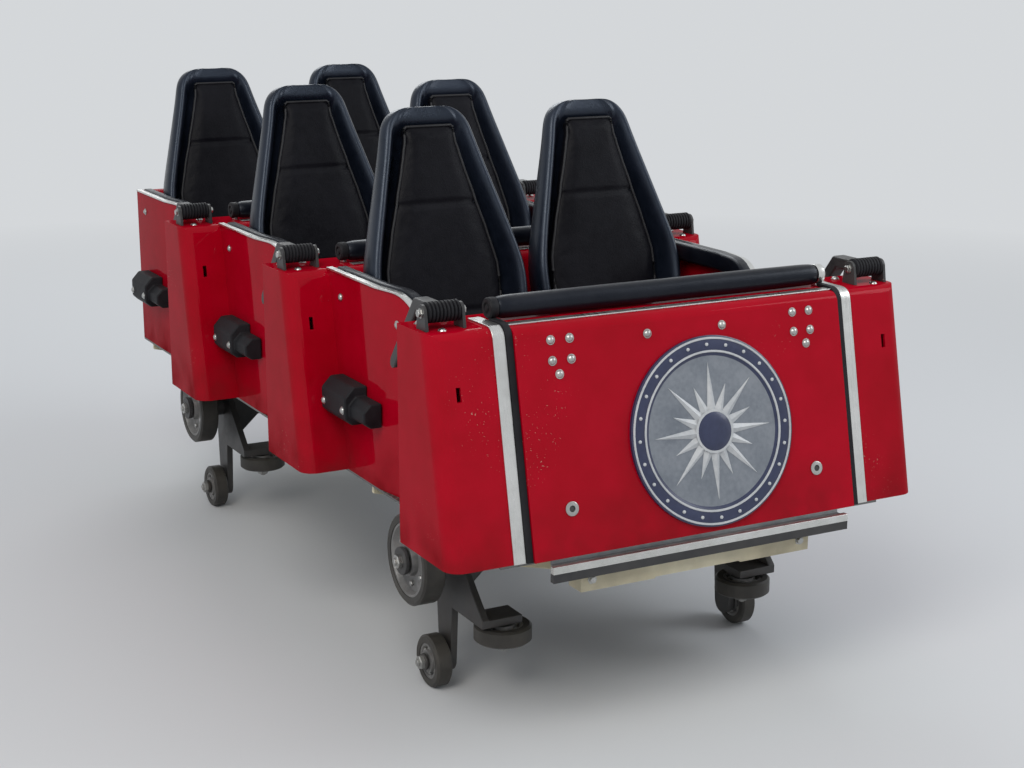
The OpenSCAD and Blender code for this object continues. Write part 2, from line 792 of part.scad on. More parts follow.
chassis_frame();
floor_pan();
front_axle();
rear_axle();
row_fairing_1();
row_fairing_2();
row_fairing_3();
side_walls_right();
side_walls_left();
side_trims();
edge_pads();
step_blocks();
tail_panel();
nose_trim();
dash_rolls();
medallion();
consoles();
seat_shells_1();
seat_shells_2();
seat_shells_3();
seat_cushions();
lap_brackets();
front_bar();
drawbar();
chain_dog();
brake_fin();
lap_bar_1_right();
lap_bar_1_left();
lap_bar_2_right();
lap_bar_2_left();
lap_bar_3_right();
lap_bar_3_left();
road_wheel_fr();
road_wheel_fl();
road_wheel_rr();
road_wheel_rl();
guide_wheel_fr();
guide_wheel_fl();
guide_wheel_rr();
guide_wheel_rl();
upstop_wheel_fr();
upstop_wheel_fl();
upstop_wheel_rr();
upstop_wheel_rl();
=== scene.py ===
"""Looks of a roller coaster car with three rows of two seats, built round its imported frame."""
import json
import math

import bmesh
import bpy
from mathutils import Matrix, Vector


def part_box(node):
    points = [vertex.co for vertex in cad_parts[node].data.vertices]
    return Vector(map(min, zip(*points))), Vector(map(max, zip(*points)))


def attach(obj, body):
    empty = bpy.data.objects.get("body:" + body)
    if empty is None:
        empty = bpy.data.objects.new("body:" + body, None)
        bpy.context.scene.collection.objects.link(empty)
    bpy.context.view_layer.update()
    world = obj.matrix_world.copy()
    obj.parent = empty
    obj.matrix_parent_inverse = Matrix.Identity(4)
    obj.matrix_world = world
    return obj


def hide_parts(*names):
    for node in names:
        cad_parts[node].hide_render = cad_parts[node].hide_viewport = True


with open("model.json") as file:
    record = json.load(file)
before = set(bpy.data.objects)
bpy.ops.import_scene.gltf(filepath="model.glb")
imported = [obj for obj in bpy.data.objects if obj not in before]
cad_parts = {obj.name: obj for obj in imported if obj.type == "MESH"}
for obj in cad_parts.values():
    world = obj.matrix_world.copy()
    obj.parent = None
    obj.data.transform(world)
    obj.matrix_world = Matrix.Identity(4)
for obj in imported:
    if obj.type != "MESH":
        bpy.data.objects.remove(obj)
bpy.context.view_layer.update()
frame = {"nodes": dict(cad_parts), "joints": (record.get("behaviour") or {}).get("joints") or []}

# Sizes, in metres. The levels, the rows and the pivots come from the frame.
WING_D = 0.165
LIP_R = 0.030
STRAP_W = 0.032
NOSE_T = 0.014
ROWS = (1, 2, 3)
SIDES = (("right", -1), ("left", 1))

mould_low, mould_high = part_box("row_fairing_2")
DASH_Z = mould_high.z
FOOT_Z = mould_low.z
ROW_Y = [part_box(f"row_fairing_{row}")[1].y - WING_D for row in ROWS]
PITCH = ROW_Y[1] - ROW_Y[0]
PANEL_H = DASH_Z - FOOT_Z
RAKE_A = math.atan((ROW_Y[1] - mould_low.y) / PANEL_H)
LIP_Y = LIP_R * (1 - math.sin(RAKE_A)) / math.cos(RAKE_A)
TUB_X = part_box("floor_pan")[1].x
PANEL_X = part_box("nose_trim")[1].x - STRAP_W
PIVOTS = {joint["name"].rsplit("_", 1)[0]: joint["pos_m"] for joint in frame["joints"]}


# Objects and modelling

def deselect():
    if bpy.context.mode != "OBJECT":
        bpy.ops.object.mode_set(mode="OBJECT")
    bpy.ops.object.select_all(action="DESELECT")


def take(obj):
    """Makes obj the one selected and active object."""
    deselect()
    obj.select_set(True)
    bpy.context.view_layer.objects.active = obj
    return obj


def named(name):
    obj = bpy.context.object
    obj.name = name
    obj.data.name = name
    return obj


def edit(obj, mode="VERT", select="SELECT"):
    """Opens obj in edit mode with all of it selected, or nothing."""
    take(obj)
    bpy.ops.object.mode_set(mode="EDIT")
    bpy.ops.mesh.select_mode(type=mode)
    bpy.ops.mesh.select_all(action=select)
    return bmesh.from_edit_mesh(obj.data)


def modify(obj, kind, **values):
    """Adds a modifier and applies it."""
    take(obj)
    modifier = obj.modifiers.new(kind.title(), kind)
    for key, value in values.items():
        setattr(modifier, key, value)
    bpy.ops.object.modifier_apply(modifier=modifier.name)
    return obj


def clean(obj):
    """Merges what touches and points all faces outwards."""
    edit(obj)
    bpy.ops.mesh.remove_doubles(threshold=1e-5)
    bpy.ops.mesh.dissolve_degenerate(threshold=1e-6)
    bpy.ops.mesh.normals_make_consistent(inside=False)
    bpy.ops.object.mode_set(mode="OBJECT")
    return obj


def smooth(obj, angle):
    take(obj)
    bpy.ops.object.shade_smooth_by_angle(angle=math.radians(angle))
    return obj


def bevelled(obj, width, segments=2, angle=28):
    """Rounds the sharp edges, and keeps the flat faces flat in the light."""
    modify(obj, "BEVEL", width=width, segments=segments, limit_method="ANGLE",
           angle_limit=math.radians(angle), use_clamp_overlap=True)
    take(obj)
    bpy.ops.object.shade_smooth()
    return modify(obj, "WEIGHTED_NORMAL", weight=50, keep_sharp=False)


def painted(obj, material):
    obj.data.materials.clear()
    obj.data.materials.append(material)
    return obj


def put(obj, matrix):
    obj.data.transform(matrix)
    return obj


def joined(name, objs):
    deselect()
    for obj in objs:
        obj.select_set(True)
    bpy.context.view_layer.objects.active = objs[0]
    if len(objs) > 1:
        bpy.ops.object.join()
    return named(name)


def copied(obj, name="part", matrix=Matrix()):
    """A copy with its own mesh, put through matrix."""
    made = bpy.data.objects.new(name, obj.data.copy())
    made.data.name = name
    bpy.context.scene.collection.objects.link(made)
    made.data.transform(matrix)
    if matrix.determinant() < 0:
        made.data.flip_normals()
    return made


def dropped(*objs):
    for obj in objs:
        bpy.data.objects.remove(obj)


def node_copy(node, name):
    """A merged copy of a CAD node's mesh, with its flat faces whole."""
    made = copied(frame["nodes"][node], name)
    edit(made)
    bpy.ops.mesh.remove_doubles(threshold=2e-5)
    bpy.ops.mesh.dissolve_limited(angle_limit=math.radians(0.6))
    bpy.ops.object.mode_set(mode="OBJECT")
    return made


def loft(name, rings):
    """A closed skin over rings of as many points each, extruded from one to the next."""
    bpy.ops.mesh.primitive_circle_add(vertices=len(rings[0]), fill_type="NGON")
    obj = named(name)
    for vertex, place in zip(obj.data.vertices, rings[0]):
        vertex.co = place
    edit(obj)
    for last, ring in zip(rings, rings[1:]):
        bpy.ops.mesh.extrude_region_move()
        mesh = bmesh.from_edit_mesh(obj.data)
        rest = [v for v in mesh.verts if v.select]
        for old, new in zip(last, ring):
            vertex = min(rest, key=lambda v: (v.co - Vector(old)).length_squared)
            rest.remove(vertex)
            vertex.co = new
        bmesh.update_edit_mesh(obj.data)
    return clean(obj)


def prism(name, outline, start, end, axis="X"):
    """An outline extruded along an axis: (y, z) points along X, (x, z) along Y, (x, y) along Z."""
    i = "XYZ".index(axis)
    return loft(name, [[(*p[:i], at, *p[i:]) for p in outline] for at in (start, end)])


def turned(profile, material, steps, axis="Z"):
    """A profile of (along, radius) points spun round an axis, left open where it ends on it."""
    bpy.ops.mesh.primitive_circle_add(vertices=len(profile), fill_type="NOTHING")
    obj = named("part")
    for vertex, (along, radius) in zip(obj.data.vertices, profile):
        vertex.co = (along, radius, 0) if axis == "X" else (radius, 0, along)
    mesh = edit(obj, "EDGE", "DESELECT")
    if profile[-1][1] == 0:
        ends = {0, len(profile) - 1}
        for edge in mesh.edges:
            edge.select_set({v.index for v in edge.verts} == ends)
        bpy.ops.mesh.delete(type="EDGE")
    bpy.ops.mesh.select_all(action="SELECT")
    way = (1, 0, 0) if axis == "X" else (0, 0, 1)
    bpy.ops.mesh.spin(steps=steps, angle=math.tau, center=(0, 0, 0), axis=way)
    bpy.ops.object.mode_set(mode="OBJECT")
    return painted(smooth(clean(obj), 32), material)


def arc(cx, cy, r, a0, a1, n):
    """Points of an arc from angle a0 to a1, in degrees."""
    steps = [math.radians(a0 + (a1 - a0) * i / n) for i in range(n + 1)]
    return [(cx + r * math.cos(a), cy + r * math.sin(a)) for a in steps]


def tube(name, points, radius):
    """A tube of one radius along points."""
    rings, sides = [], 8
    for i, point in enumerate(points):
        before = Vector(points[max(i - 1, 0)])
        after = Vector(points[min(i + 1, len(points) - 1)])
        turn = (after - before).to_track_quat("Z", "Y")
        ring = [Vector((radius * math.cos(a), radius * math.sin(a), 0))
                for a in (math.tau * k / sides for k in range(sides))]
        rings.append([tuple(Vector(point) + turn @ p) for p in ring])
    return smooth(loft(name, rings), 60)


def placed(name, template, spots):
    """Copies of a template with its foot at each (point, outward direction), as one mesh."""
    copies = []
    for i, (point, normal) in enumerate(spots):
        turn = Vector(normal).to_track_quat("Z", "Y").to_matrix().to_4x4()
        spin = Matrix.Rotation(0.7 * i, 4, "Z")
        copies.append(copied(template, matrix=Matrix.Translation(point) @ turn @ spin))
    return joined(name, copies)


def settle(obj, slot, *nodes, body="car", padded=None):
    """Rides obj on its body and hides the CAD nodes that it stands for."""
    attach(obj, body)
    if nodes:
        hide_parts(*nodes)


def dressed(node, name, material, slot, width, segments=2):
    """Puts a copy of a CAD node with rounded edges and its own finish in the node's place."""
    settle(painted(bevelled(node_copy(node, name), width, segments), material), slot, node)


# Shader nodes, and the effects that several materials use

class Graph:
    """A node tree under construction. Colours are given as (red, green, blue)."""

    def __init__(self, tree):
        self.tree = tree

    def give(self, socket, value):
        """Links a socket to another one, or sets its value."""
        if isinstance(value, bpy.types.NodeSocket):
            self.tree.links.new(value, socket)
        else:
            socket.default_value = (*value, 1.0) if socket.type == "RGBA" else value

    def node(self, kind, inputs, **settings):
        made = self.tree.nodes.new("ShaderNode" + kind)
        for key, value in settings.items():
            setattr(made, key, value)
        for key, value in inputs.items():
            self.give(made.inputs[key], value)
        return made

    def math(self, operation, a, b, clamp=False):
        return self.node("Math", {0: a, 1: b}, operation=operation, use_clamp=clamp).outputs[0]

    def times(self, a, b):
        return self.math("MULTIPLY", a, b)

    def ranged(self, value, low, high, to_low=0.0, to_high=1.0):
        made = self.node("MapRange", {"Value": value, "From Min": low, "From Max": high,
                                      "To Min": to_low, "To Max": to_high})
        return made.outputs["Result"]

    def spread(self, mask, at_none, at_full):
        """A value that follows a mask between two numbers."""
        return self.ranged(mask, 0.0, 1.0, at_none, at_full)

    def mixed(self, factor, a, b):
        return self.node("Mix", {0: factor, 6: a, 7: b}, data_type="RGBA").outputs[2]

    def noise(self, vector, scale, detail, output="Fac"):
        made = self.node("TexNoise", {"Vector": vector, "Scale": scale, "Detail": detail})
        return made.outputs[output]

    def upward(self, low, high):
        """A mask of the faces that look up."""
        normal = self.node("NewGeometry", {}).outputs["Normal"]
        return self.ranged(self.node("SeparateXYZ", {0: normal}).outputs["Z"], low, high)


class Effect(Graph):
    """A node group with one output, a vector and named numbers for its inputs."""

    def __init__(self, name, output, **inputs):
        super().__init__(bpy.data.node_groups.new(name, "ShaderNodeTree"))
        sockets = self.tree.interface
        sockets.new_socket("Vector", in_out="INPUT", socket_type="NodeSocketVector")
        for key, value in inputs.items():
            made = sockets.new_socket(key, in_out="INPUT", socket_type="NodeSocketFloat")
            made.default_value = value
        sockets.new_socket(output, in_out="OUTPUT", socket_type="NodeSocketFloat")
        self.into = self.tree.nodes.new("NodeGroupInput")
        self.out = self.tree.nodes.new("NodeGroupOutput")

    def given(self, key):
        return self.into.outputs[key]

    def grain_of(self, scale, detail, output="Fac"):
        """Noise on the group's own vector."""
        return self.noise(self.given("Vector"), scale, detail, output)

    def done(self, value):
        self.tree.links.new(value, self.out.inputs[0])
        return self.tree


def mottle():
    """Soft cloudy variation from two sizes of noise."""
    e = Effect("Mottle", "Mask", Scale=3.0)
    small = e.grain_of(e.times(e.given("Scale"), 7.0), 2.0)
    large = e.grain_of(e.given("Scale"), 4.0)
    total = e.math("ADD", e.times(small, 0.35), e.times(large, 0.65))
    return e.done(e.ranged(total, 0.36, 0.64))


def chips():
    """Small irregular chips and scuffs, more of them where a slow noise is high."""
    e = Effect("Chips", "Mask", Scale=30.0, Amount=0.3)
    bend = e.grain_of(60.0, 3.0, "Color")
    shift = e.node("VectorMath", {0: bend, "Scale": 0.03}, operation="SCALE").outputs[0]
    moved = e.node("VectorMath", {0: e.given("Vector"), 1: shift}, operation="ADD").outputs[0]
    cells = e.node("TexVoronoi", {"Vector": moved, "Scale": e.given("Scale")})
    size = e.times(e.given("Amount"), e.ranged(e.grain_of(3.1, 2.0), 0.54, 0.80))
    edge = e.math("SUBTRACT", size, cells.outputs["Distance"])
    return e.done(e.ranged(edge, 0.0, 0.03))


def streaks():
    """Fine lines along one axis, as brushing leaves them. The vector is stretched outside."""
    e = Effect("Streaks", "Mask", Scale=400.0)
    return e.done(e.ranged(e.grain_of(e.given("Scale"), 3.0), 0.3, 0.7))


def grime():
    """Dirt that lies low down and on faces that look up, broken by noise."""
    e = Effect("Grime", "Mask", Low=0.5, High=0.8, Upward=0.3)
    height = e.node("SeparateXYZ", {0: e.given("Vector")}).outputs["Z"]
    low = e.ranged(height, e.given("Low"), e.given("High"), 1.0, 0.0)
    top = e.times(e.upward(0.6, 1.0), e.given("Upward"))
    total = e.times(e.math("MAXIMUM", low, top), e.ranged(e.grain_of(9.0, 6.0), 0.35, 0.7))
    return e.done(e.math("MINIMUM", total, 1.0))


def pebbles():
    """Pebbled skin of vinyl or foam: raised cells with creases between them."""
    e = Effect("Grain", "Height", Scale=500.0)
    cells = e.node("TexVoronoi", {"Vector": e.given("Vector"), "Scale": e.given("Scale")},
                   feature="SMOOTH_F1")
    folds = e.grain_of(e.times(e.given("Scale"), 0.21), 4.0)
    return e.done(e.math("SUBTRACT", folds, cells.outputs["Distance"]))


MOTTLE = mottle()
CHIPS = chips()
STREAKS = streaks()
GRIME = grime()
PEBBLES = pebbles()


class Finish(Graph):
    """A material under construction, with its shader and object coordinates."""

    def __init__(self, name, **constants):
        self.material = bpy.data.materials.new(name)
        self.material.use_nodes = True
        super().__init__(self.material.node_tree)
        self.shader = self.tree.nodes["Principled BSDF"]
        self.where = self.node("TexCoord", {}).outputs["Object"]
        self.feed(**constants)

    def effect(self, group, vector=None, **values):
        inputs = {"Vector": vector or self.where, **values}
        return self.node("Group", inputs, node_tree=group).outputs[0]

    def stretched(self, *scale):
        return self.node("Mapping", {"Vector": self.where, "Scale": scale}).outputs["Vector"]

    def rough_skin(self, scale, detail, distance, strength, normal=None):
        """A bump from plain noise."""
        return self.bump(self.noise(self.where, scale, detail), distance, strength, normal)

    def bump(self, height, distance, strength, normal=None):
        inputs = {"Height": height, "Distance": distance, "Strength": strength}
        if normal is not None:
            inputs["Normal"] = normal
        return self.node("Bump", inputs).outputs["Normal"]

    def feed(self, **values):
        """Gives the shader's sockets their numbers, colours or links."""
        for key, value in values.items():
            self.give(self.shader.inputs[key.replace("_", " ")], value)
        return self.material


def red_gelcoat():
    """Glossy deep red moulding with a wavy skin, small chips and dirt along the foot."""
    f = Finish("red_gelcoat", Coat_Roughness=0.05, Specular_IOR_Level=0.0)
    cloud = f.effect(MOTTLE, Scale=1.7)
    chipped = f.effect(CHIPS, Scale=110.0, Amount=0.26)
    dirt = f.effect(GRIME, Low=FOOT_Z - 0.02, High=FOOT_Z + 0.16, Upward=0.06)
    base = f.mixed(cloud, (0.335, 0.0004, 0.008), (0.43, 0.0008, 0.014))
    base = f.mixed(f.times(dirt, 0.6), base, (0.075, 0.022, 0.020))
    rough = f.math("ADD", f.spread(cloud, 0.24, 0.34), f.times(dirt, 0.35))
    normal = f.rough_skin(7.0, 1.0, 0.005, 0.45)
    normal = f.rough_skin(420.0, 1.0, 0.0002, 0.25, normal)
    return f.feed(Base_Color=f.mixed(chipped, base, (0.48, 0.20, 0.17)),
                  Roughness=f.math("ADD", rough, f.times(chipped, 0.3), clamp=True),
                  Coat_Weight=f.ranged(dirt, 0.0, 0.8, 0.26, 0.0),
                  Normal=f.bump(f.times(chipped, -1.0), 0.0006, 0.8, normal))


def chassis_cream():
    """Thick cream frame paint with grease and rust at its low edges."""
    f = Finish("chassis_cream", Specular_IOR_Level=0.45)
    cloud = f.effect(MOTTLE, Scale=4.0)
    chipped = f.effect(CHIPS, Scale=26.0, Amount=0.42)
    dirt = f.effect(GRIME, Low=0.34, High=0.50, Upward=0.35)
    base = f.mixed(cloud, (0.60, 0.53, 0.36), (0.70, 0.64, 0.46))
    base = f.mixed(f.times(dirt, 0.75), base, (0.06, 0.045, 0.032))
    brush = f.effect(STREAKS, f.stretched(1, 0.1, 1), Scale=140.0)
    return f.feed(Base_Color=f.mixed(chipped, base, (0.16, 0.07, 0.03)),
                  Roughness=f.spread(dirt, 0.38, 0.75), Normal=f.bump(brush, 0.0004, 0.4))


def metal(name, low, high, rough, stretch, dirt_up, dirt_to, scale=260.0):
    """Bare or coated metal with fine lines along one axis and dull dirty patches."""
    f = Finish(name, Metallic=1.0)
    cloud = f.effect(MOTTLE, Scale=6.0)
    lines = f.effect(STREAKS, f.stretched(*stretch), Scale=scale)
    dirt = f.effect(GRIME, Low=0.0, High=dirt_to, Upward=dirt_up)
    base = f.mixed(cloud, low, high)
    shine = f.math("ADD", f.spread(lines, *rough), f.times(dirt, 0.4), clamp=True)
    return f.feed(Base_Color=f.mixed(f.times(dirt, 0.7), base, (0.05, 0.04, 0.03)),
                  Metallic=f.spread(dirt, 1.0, 0.45), Roughness=shine,
                  Normal=f.bump(lines, 0.0002, 0.3))


def steel_paint():
    """Dark machine paint with chips to bare steel and oily dirt."""
    f = Finish("steel_dark")
    cloud = f.effect(MOTTLE, Scale=5.0)
    chipped = f.effect(CHIPS, Scale=24.0, Amount=0.45)
    dirt = f.effect(GRIME, Low=0.0, High=0.5, Upward=0.5)
    base = f.mixed(cloud, (0.022, 0.022, 0.024), (0.045, 0.044, 0.044))
    base = f.mixed(f.times(dirt, 0.5), base, (0.07, 0.055, 0.04))
    return f.feed(Base_Color=f.mixed(chipped, base, (0.30, 0.28, 0.26)),
                  Metallic=f.times(chipped, 0.8), Roughness=f.spread(cloud, 0.36, 0.55),
                  Normal=f.rough_skin(180.0, 3.0, 0.0005, 0.4))


def black_skin(name, low, high, rough, pebble, depth, coat=0.0, shine=0.3, tint=(1, 1, 1)):
    """Black foam skin, vinyl or rubber: pebbled, with worn smoother patches and pale dust. A tint
    other than white colours its reflections as a painted sheen.
    """
    f = Finish(name, Coat_Weight=coat, Coat_Roughness=0.25, Specular_IOR_Level=shine,
               Specular_Tint=tint)
    cloud = f.effect(MOTTLE, Scale=5.0)
    dust = f.effect(GRIME, Low=0.3, High=0.62, Upward=0.25)
    base = f.mixed(cloud, low, high)
    skin = f.effect(PEBBLES, Scale=pebble)
    return f.feed(Base_Color=f.mixed(f.times(dust, 0.25), base, (0.16, 0.145, 0.12)),
                  Roughness=f.spread(cloud, *rough),
                  Normal=f.bump(skin, depth, 0.7, f.rough_skin(16.0, 2.0, 0.003, 0.25)))


def console_plastic():
    """Glossy blue-grey moulded plastic with fine scratches."""
    f = Finish("console_grey")
    cloud = f.effect(MOTTLE, Scale=9.0)
    lines = f.effect(STREAKS, f.stretched(1, 0.06, 0.4), Scale=220.0)
    return f.feed(Base_Color=f.mixed(cloud, (0.33, 0.36, 0.41), (0.43, 0.46, 0.51)),
                  Roughness=f.spread(lines, 0.16, 0.34), Normal=f.bump(lines, 0.0001, 0.3))


def badge_enamel(name, low, high):
    """Painted badge with slight fading and fine scratches."""
    f = Finish(name, Coat_Weight=0.3, Coat_Roughness=0.15)
    cloud = f.effect(MOTTLE, Scale=12.0)
    chipped = f.effect(CHIPS, Scale=60.0, Amount=0.25)
    base = f.mixed(cloud, low, high)
    return f.feed(Base_Color=f.mixed(chipped, base, (0.30, 0.29, 0.28)),
                  Roughness=f.spread(cloud, 0.30, 0.45),
                  Normal=f.rough_skin(160.0, 2.0, 0.0004, 0.35))


def pan_plate():
    """Grey raised-bar floor plate, worn bright on the bars and dirty between them."""
    f = Finish("pan_grey", Metallic=0.8)
    slanted = f.node("Mapping", {"Vector": f.where, "Rotation": (0, 0, math.radians(45))})
    slanted = slanted.outputs["Vector"]
    along = f.node("TexWave", {"Vector": slanted, "Scale": 16.0})
    across = f.node("TexWave", {"Vector": slanted, "Scale": 24.0}, bands_direction="Y")
    bars = f.times(f.ranged(along.outputs["Fac"], 0.72, 0.84),
                   f.ranged(across.outputs["Fac"], 0.35, 0.5))
    bars = f.times(bars, f.upward(0.9, 0.95))
    dirt = f.effect(GRIME, Low=0.0, High=0.3, Upward=0.9)
    base = f.mixed(bars, (0.16, 0.16, 0.155), (0.42, 0.42, 0.41))
    return f.feed(Base_Color=f.mixed(f.times(dirt, 0.6), base, (0.07, 0.06, 0.05)),
                  Roughness=f.spread(dirt, 0.4, 0.8), Normal=f.bump(bars, 0.0012, 0.8))


RED = red_gelcoat()
CREAM = chassis_cream()
ALLOY = metal("trim_alloy", (0.62, 0.62, 0.60), (0.74, 0.74, 0.72), (0.24, 0.36),
              (1, 0.03, 0.03), 0.1, 0.45)
BAR_ALLOY = metal("bar_alloy", (0.58, 0.58, 0.55), (0.70, 0.70, 0.68), (0.22, 0.36),
                  (0.03, 1, 1), 0.2, 0.3)
FIN_STEEL = metal("fin_steel", (0.34, 0.33, 0.32), (0.50, 0.49, 0.47), (0.22, 0.44),
                  (1, 0.03, 1), 0.2, 0.4)
BRIGHT = metal("steel_bright", (0.38, 0.38, 0.37), (0.54, 0.54, 0.52), (0.22, 0.42),
               (1, 1, 0.1), 0.15, 0.45)
CAST = metal("wheel_cast", (0.26, 0.26, 0.26), (0.40, 0.39, 0.38), (0.35, 0.60),
             (1, 1, 1), 0.3, 0.6, scale=90.0)
SHELF = metal("shelf_alloy", (0.26, 0.27, 0.28), (0.38, 0.39, 0.40), (0.40, 0.60),
              (0.03, 1, 1), 0.2, 0.4)
DARK = steel_paint()
# The blue specular tints of the seat foam and pad vinyl, and part of the blue in their colours,
# are a painted sky-blue sheen.
FOAM = black_skin("seat_foam", (0.004, 0.006, 0.011), (0.009, 0.012, 0.021), (0.26, 0.38),
                  900.0, 0.0004, coat=0.2, shine=0.42, tint=(0.62, 0.76, 1.0))
VINYL = black_skin("pad_vinyl", (0.003, 0.004, 0.008), (0.008, 0.009, 0.014), (0.28, 0.40),
                   700.0, 0.0005, coat=0.15, shine=0.18, tint=(0.75, 0.85, 1.0))
CUSHION = black_skin("cushion_vinyl", (0.003, 0.003, 0.005), (0.008, 0.008, 0.011),
                     (0.36, 0.50), 620.0, 0.0007, shine=0.10)
RUBBER = black_skin("step_rubber", (0.007, 0.007, 0.009), (0.017, 0.017, 0.020),
                    (0.50, 0.70), 1200.0, 0.0004, shine=0.2)
SEAM = black_skin("seam_cord", (0.012, 0.012, 0.014), (0.024, 0.024, 0.027), (0.40, 0.55),
                  1500.0, 0.0003)
TREAD = black_skin("wheel_tread", (0.020, 0.019, 0.018), (0.045, 0.042, 0.038),
                   (0.38, 0.58), 300.0, 0.0003)
GREY = console_plastic()
NAVY = badge_enamel("badge_navy", (0.012, 0.017, 0.055), (0.022, 0.030, 0.080))
PALE = badge_enamel("badge_pale", (0.42, 0.44, 0.46), (0.56, 0.57, 0.58))
STONE = badge_enamel("badge_grey", (0.14, 0.16, 0.19), (0.22, 0.24, 0.27))
PLATE = pan_plate()


# Row mouldings, walls and trims

# Black rubber strip in the gap between each strap and the nose panel, black also as painted shade
# of that gap.
SHADE_SEAL_W = 0.018
SHADE_SEAL_GAP = 0.0005
SHADE_SEAL_REACH = 0.05
SHADE_SEAL_LOW = 0.0004
SHADE_SEAL_HIGH = 0.009
PAD_PUFF = 0.007


def face_path(out):
    """(y, z) from the deck over the lip down the raked face to the foot, moved outwards."""
    lip = arc(LIP_Y, -LIP_R, LIP_R + out, 90, 180 - math.degrees(RAKE_A), 10)
    foot = (-PANEL_H * math.tan(RAKE_A) - out / math.cos(RAKE_A), -PANEL_H)
    return [(LIP_Y + SHADE_SEAL_REACH, out)] + lip + [foot]


def on_face(x, z, out):
    """A point off the front row's raked face at z from the dash top, and the way it looks."""
    y = ROW_Y[0] + z * math.tan(RAKE_A) - out / math.cos(RAKE_A)
    return (x, y, DASH_Z + z), (0, -math.cos(RAKE_A), math.sin(RAKE_A))


def mouldings():
    for row in ROWS:
        dressed(f"row_fairing_{row}", f"moulding_{row}", RED, "body_red", 0.004, 3)
    for side, _ in SIDES:
        dressed(f"side_walls_{side}", f"side_wall_{side}", RED, "body_red", 0.0025)
    dressed("tail_panel", "tail", RED, "body_red", 0.004, 3)


def trims():
    """Bright edges, straps and strips, and the black rubber seals beside the straps, black also as
    painted shade of the gaps there.
    """
    dressed("side_trims", "bright_edges", ALLOY, "trim_bright", 0.0018)
    dressed("nose_trim", "straps", ALLOY, "trim_bright", 0.0012)
    # Black strips beside the straps: rubber seals, and painted shade of the gap beside each strap.
    shade_seals = []
    for _, s in SIDES:
        x0, x1 = s * (PANEL_X - SHADE_SEAL_W + SHADE_SEAL_GAP), s * (PANEL_X - SHADE_SEAL_GAP)
        rings = []
        for high, low in zip(face_path(SHADE_SEAL_HIGH), face_path(SHADE_SEAL_LOW)):
            rings.append([(x, ROW_Y[0] + y, DASH_Z + z)
                          for x, (y, z) in ((x0, low), (x1, low), (x1, high), (x0, high))])
        shade_seals.append(bevelled(loft("part", rings), 0.0015, 2, 50))
    settle(painted(joined("strap_shade_seals", shade_seals), RUBBER), "step_black")


def edge_pads():
    """Pads inside the walls' top edges, full on every side but the one against the wall."""
    pads = bevelled(node_copy("edge_pads", "elbow_pads"), 0.010, 4)
    for vertex in pads.data.vertices:
        move = vertex.normal * PAD_PUFF
        if move.x * vertex.co.x > 0:
            move.x = 0
        vertex.co += move
    settle(painted(pads, VINYL), "pad_black", "edge_pads", padded=0.8)


# Seats

SEAT_X = 0.255
SEAT_W = 0.430
SHOULDER_W = 0.480
HEAD_W = 0.280
HEAD_R = 0.081
BACK_H = 0.870
BACK_LEAN = math.radians(13)
BOLSTER_D = 0.115
HEAD_D = 0.070
SHELL_T = 0.024
SEAT_Z = FOOT_Z + 0.150
CUSHION_T = 0.060
BACK_Y = PITCH - 0.146
BASE_Y = BACK_Y - 0.460
BACK_SINK = 0.040
WELT_R = 0.0040
WELT_Y = -SHELL_T - 0.036
WELT_POINTS = 26
PAD_VOXEL = 0.0075
PAD_SWELL = 0.010
SEW_W = 0.006


def line(points, at):
    """Straight lines between (position, value) points."""
    for (a, va), (b, vb) in zip(points, points[1:]):
        if at <= b:
            return va + (vb - va) * (at - a) / (b - a)
    return points[-1][1]


def half_width(s):
    """Half the width of a seat back at height s along its slope."""
    top = BACK_H - HEAD_R
    if s > top:
        return HEAD_W / 2 - HEAD_R + math.sqrt(max(HEAD_R ** 2 - (s - top) ** 2, 0))
    wide = SHOULDER_W / 2
    return line([(0, SEAT_W / 2), (0.36, wide), (0.43, wide - 0.002), (top, HEAD_W / 2)], s)


def bolster(s):
    """Depth of a seat back's sides at height s."""
    return line([(0, BOLSTER_D), (0.40, BOLSTER_D), (0.789, HEAD_D), (BACK_H, HEAD_D - 0.012)], s)


def on_back(x, row):
    """Places a seat back's own frame: Z up its slope, Y = 0 on its rear face."""
    foot = (x, ROW_Y[row - 1] + BACK_Y, SEAT_Z - BACK_SINK)
    return Matrix.Translation(foot) @ Matrix.Rotation(-BACK_LEAN, 4, "X")


def back_shell():
    """Moulded seat back: a leaning bucket with thick round sides that close over the head."""
    rings = []
    for s in (0.0, 0.10, 0.24, 0.36, 0.43, 0.56, 0.68, 0.76, 0.80, 0.828, 0.850, 0.864, BACK_H):
        w, d = half_width(s), bolster(s)
        close = min(max((s - 0.785) / 0.05, 0.0), 1.0)
        t = SHELL_T + (d - SHELL_T - 0.004) * close * close * (3 - 2 * close)
        rim = min(1.0, w / 0.14)
        half = [
            (0.0, 0.0), (0.55 * w, 0.0), (w - 0.034 * rim, -0.003), (w - 0.010 * rim, -0.014),
            (w, -0.5 * d), (w - 0.002, 0.018 - d), (w - 0.013 * rim, 0.001 - d),
            (w - 0.028 * rim, 0.003 - d), (w - 0.040 * rim, min(0.026 - d, -t)),
            (w - 0.050 * rim, -t - 0.006), (0.55 * w, -t), (0.0, -t),
        ]
        ring = half + [(-x, y) for x, y in reversed(half[1:-1])]
        rings.append([(x, y, s) for x, y in ring])
    shell = loft("back_shell", rings)
    modify(shell, "SUBSURF", levels=2, render_levels=2)
    return painted(smooth(shell, 60), FOAM)


